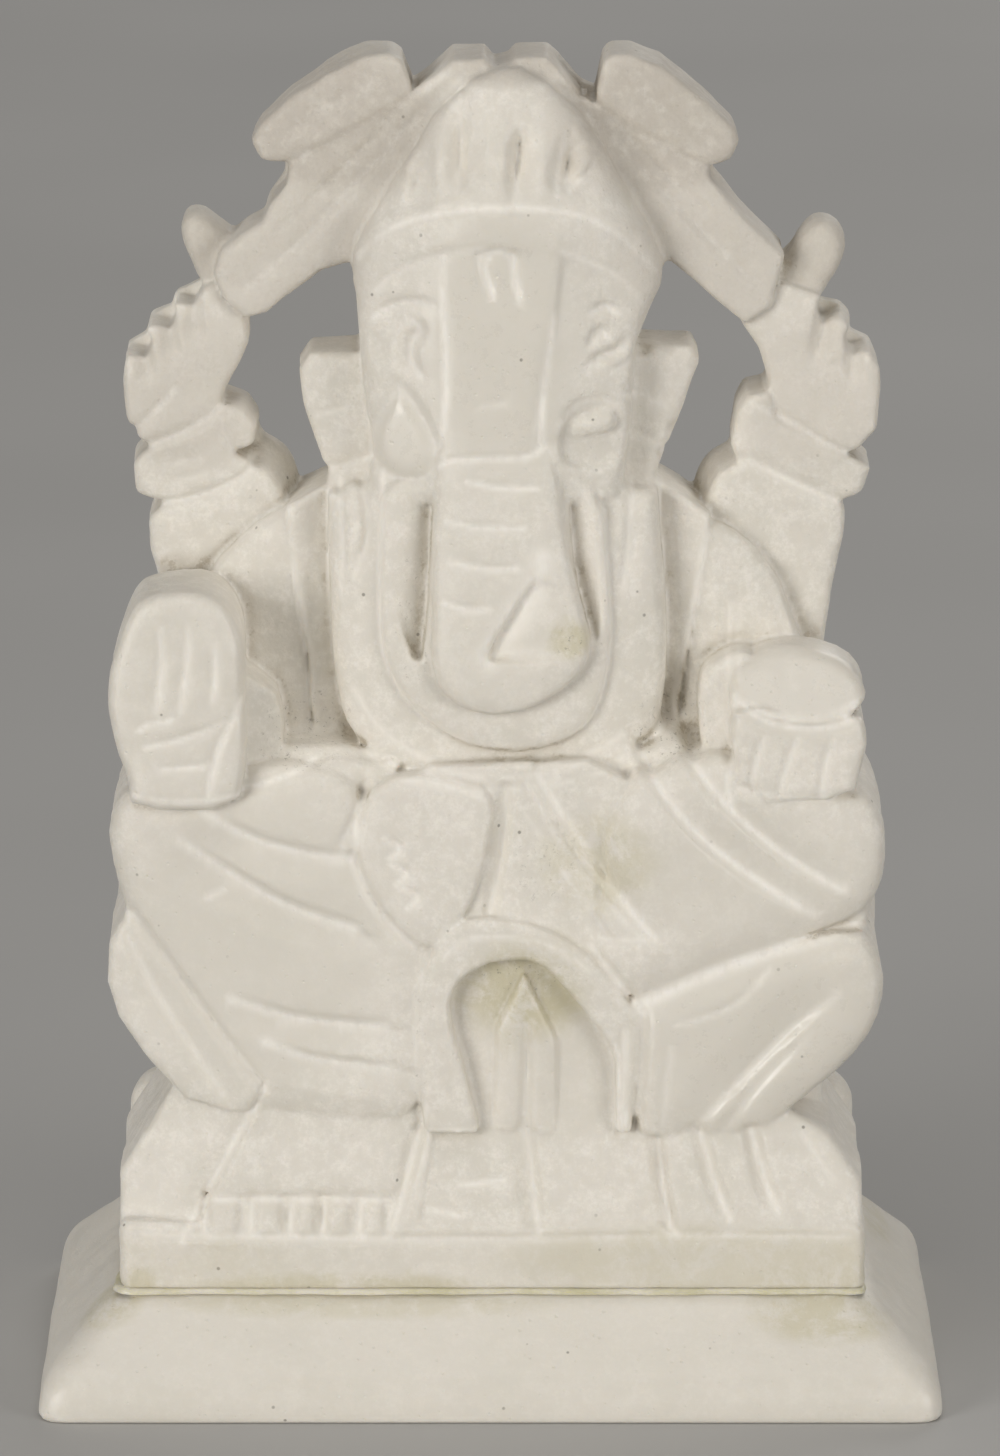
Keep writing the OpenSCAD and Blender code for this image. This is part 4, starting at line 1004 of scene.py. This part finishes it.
def make_figure():
    st = carve()
    obj = stone_mesh("ganesha_figure", st, FIGURE_TRIANGLES)
    wear_and_shade_maps(obj, st, polished=(
        ((-21, -15, 44), (13, 9, 16), 0.9), ((25, -16, 34), (12, 9, 11), 1), ((24, -15, 49), (12, 9, 7), 0.7),
        ((1, -12, 98), (7.5, 8, 15), 1), ((-8, -11, 89), (3.2, 4, 4.6), 1), ((0, -14, 72), (7, 5, 10), 0.5),
        ((-28, -16, 66), (8, 6, 11), 0.7), ((28.5, -13, 66), (7, 7, 5), 1), ((1, -9, 112), (8, 6, 7), 0.5),
        ((18, -17, 13.5), (20, 6, 4), 0.8), ((5, -13, 32), (7, 4, 10), 0.7), ((-3, -17, 13.5), (34, 4, 3), 0.5),
    ), stained=(
        ((3.2, -14.2, 39), (6.6, 3, 5.2), 1), ((10, -14.5, 50.5), (5.5, 4, 4.5), 0.6),
        ((7.2, -13.2, 71), (2, 3, 1.8), 0.9), ((-33.5, -16.5, 11), (3, 3, 2), 0.8),
        ((30, -17, 11), (7, 3, 2), 0.6), ((-14, -17, 10.8), (14, 3, 1.2), 0.7),
        ((13.4, -11, 112), (2, 6, 3), 0.4), ((20, -17, 13.2), (19, 4, 3.4), 0.42),
        ((-27, -17, 13), (9, 4, 2.6), 0.25),
    ), dirty=(
        ((-17, -9, 61.5), (4.8, 7, 4), 1), ((16.5, -9, 62), (3.8, 7, 4), 1), ((-7, -10, 72), (2, 4, 8), 0.5),
        ((-6.6, -14.5, 33), (0.7, 4, 6), 0.5), ((3.4, -14.2, 40.2), (4.6, 3, 2.4), 1),
        ((7.2, -13.2, 71), (1.6, 3, 1.4), 0.9), ((5, -14, 50), (3, 3, 4), 0.5),
    ), aged_and_shaded=(
        # painted shade on the axes, crown sides and raised arms behind the front layer, partly greyed with age
        ((-14.5, -2, 117), (11, 12, 7.5), 1), ((15.5, -2, 117), (11, 12, 7.5), 1),
        ((-18, -2, 105), (9, 12, 8), 0.6), ((19, -2, 105), (9, 12, 8), 0.6), ((-27.5, -1, 105), (4, 8, 4), 0.8),
        ((30, -1, 104.6), (4, 8, 4), 0.8), ((-28, -2, 92), (7, 9, 8), 0.5), ((30, -2, 92), (7, 9, 8), 0.4),
        ((1.5, -2, 122.4), (6, 10, 2), 0.8),
    ))
    return obj


def make_resin():
    """Thin bed of adhesive between the stones, squeezed out unevenly along the joint."""
    low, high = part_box("adhesive_bed")
    cx, cy = (low[0] + high[0]) / 2, (low[1] + high[1]) / 2
    hx, hy = (high[0] - low[0]) / 2, (high[1] - low[1]) / 2
    corner, steps, spacing = 1.5 * MM, 8, 0.8 * MM      # corner radius, points round it and along the sides
    ring = []
    for sx, sy, start in ((1, 1, 0), (-1, 1, 90), (-1, -1, 180), (1, -1, 270)):
        for i in range(steps + 1):
            a = math.radians(start + 90 * i / steps)
            ring.append((cx + sx * (hx - corner), cy + sy * (hy - corner), math.cos(a), math.sin(a)))
    dense = []
    for p, q in zip(ring, ring[1:] + ring[:1]):
        parts = max(1, int(math.hypot(q[0] - p[0], q[1] - p[1]) / spacing))
        dense += [tuple(a + (b - a) * k / parts for a, b in zip(p, q)) for k in range(parts)]
    count = len(dense)
    swell = np.zeros(count)
    rng = np.random.default_rng(7)
    for waves, height in ((9, 0.10), (23, 0.09), (61, 0.05)):
        swell += height * np.sin(2 * math.pi * waves * np.arange(count) / count + rng.uniform(0, 2 * math.pi))
    # rings from the underside outwards, up the joint and back in over the top: (height, step out)
    levels = ((0.0, -6.0), (0.0, 0.02), (0.10, 0.06), (0.26, -0.02), (0.42, -0.15), (0.42, -1.5), (0.4, -6.0))
    verts, faces = [], []
    for rise, out in levels:
        for (x, y, c, s), w in zip(dense, swell):
            reach = corner + (out + (w if out > -1 else 0)) * MM
            verts.append((x + c * reach, y + s * reach, low[2] + rise * MM))
    for r in range(0, (len(levels) - 1) * count, count):
        for i in range(count):
            j = (i + 1) % count
            faces.append((r + i, r + j, r + count + j, r + count + i))
    faces.append(tuple(range(count - 1, -1, -1)))
    faces.append(tuple((len(levels) - 1) * count + i for i in range(count)))
    obj = new_object("resin_seam", verts, faces)
    obj.data.validate()
    shade_smooth(obj.data)
    return obj


plinth = make_plinth()
figure = make_figure()
resin = make_resin()
for piece, node, slot_name, material in (
    (plinth, "base_plinth", "plinth_stone", stone_material("plinth_stone")),
    (figure, "carved_figure", "figure_stone", stone_material("figure_stone")),
    (resin, "adhesive_bed", "resin", resin_material()),
):
    piece.data.materials.append(material)
    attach(piece, "root")
    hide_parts(node)


# ---- studio ----

WARM = (1.0, 0.98, 0.95)
WORLD_STRENGTH = 0.17
MIDDLE = (0.0009, 0, 0.0595)                    # what the camera and the lights look at, m
PITCH, DISTANCE, LENS = math.radians(14), 0.78, 208


def area_light(name, at, size, watts):
    data = bpy.data.lights.new(name, "AREA")
    data.shape = "RECTANGLE"
    data.size, data.size_y = size
    data.energy = watts
    data.color = WARM
    lamp = bpy.data.objects.new(name, data)
    lamp.location = at
    lamp.rotation_euler = (Vector(MIDDLE) - Vector(at)).to_track_quat("-Z", "Y").to_euler()
    bpy.context.scene.collection.objects.link(lamp)


def make_floor():
    bpy.ops.mesh.primitive_plane_add(size=6, location=(0, 0, 0))
    floor = bpy.context.object
    floor.name = "floor"
    m = Nodes("floor_paper")
    tone = m.mix(m.ramp(m.noise(6, 2), 0.3, 0.7), (0.47, 0.465, 0.455, 1), (0.50, 0.495, 0.485, 1))
    m.surface(Base_Color=tone, Roughness=0.8)
    floor.data.materials.append(m.mat)
    return floor


make_floor()
area_light("left", (-1.15, -1.30, 0.36), (0.75, 0.75), 16.0)
area_light("right", (1.25, -1.08, 0.26), (0.75, 0.75), 10.8)
area_light("above", (0.0, -0.45, 1.60), (1.0, 0.8), 4.8)
area_light("behind", (0.5, 1.50, 0.90), (0.8, 0.8), 5.0)

world = bpy.data.worlds.new("studio")
world.use_nodes = True
background = world.node_tree.nodes["Background"]
background.inputs["Color"].default_value = (*WARM, 1)
background.inputs["Strength"].default_value = WORLD_STRENGTH
bpy.context.scene.world = world
bpy.context.scene.view_settings.view_transform = "Standard"

camera_data = bpy.data.cameras.new("camera")
camera_data.lens = LENS
camera_data.sensor_width = 36
camera_data.clip_start = 0.01
camera = bpy.data.objects.new("camera", camera_data)
camera.location = (MIDDLE[0], -DISTANCE * math.cos(PITCH), MIDDLE[2] + DISTANCE * math.sin(PITCH))
camera.rotation_euler = (math.pi / 2 - PITCH, 0, 0)
bpy.context.scene.collection.objects.link(camera)
bpy.context.scene.camera = camera
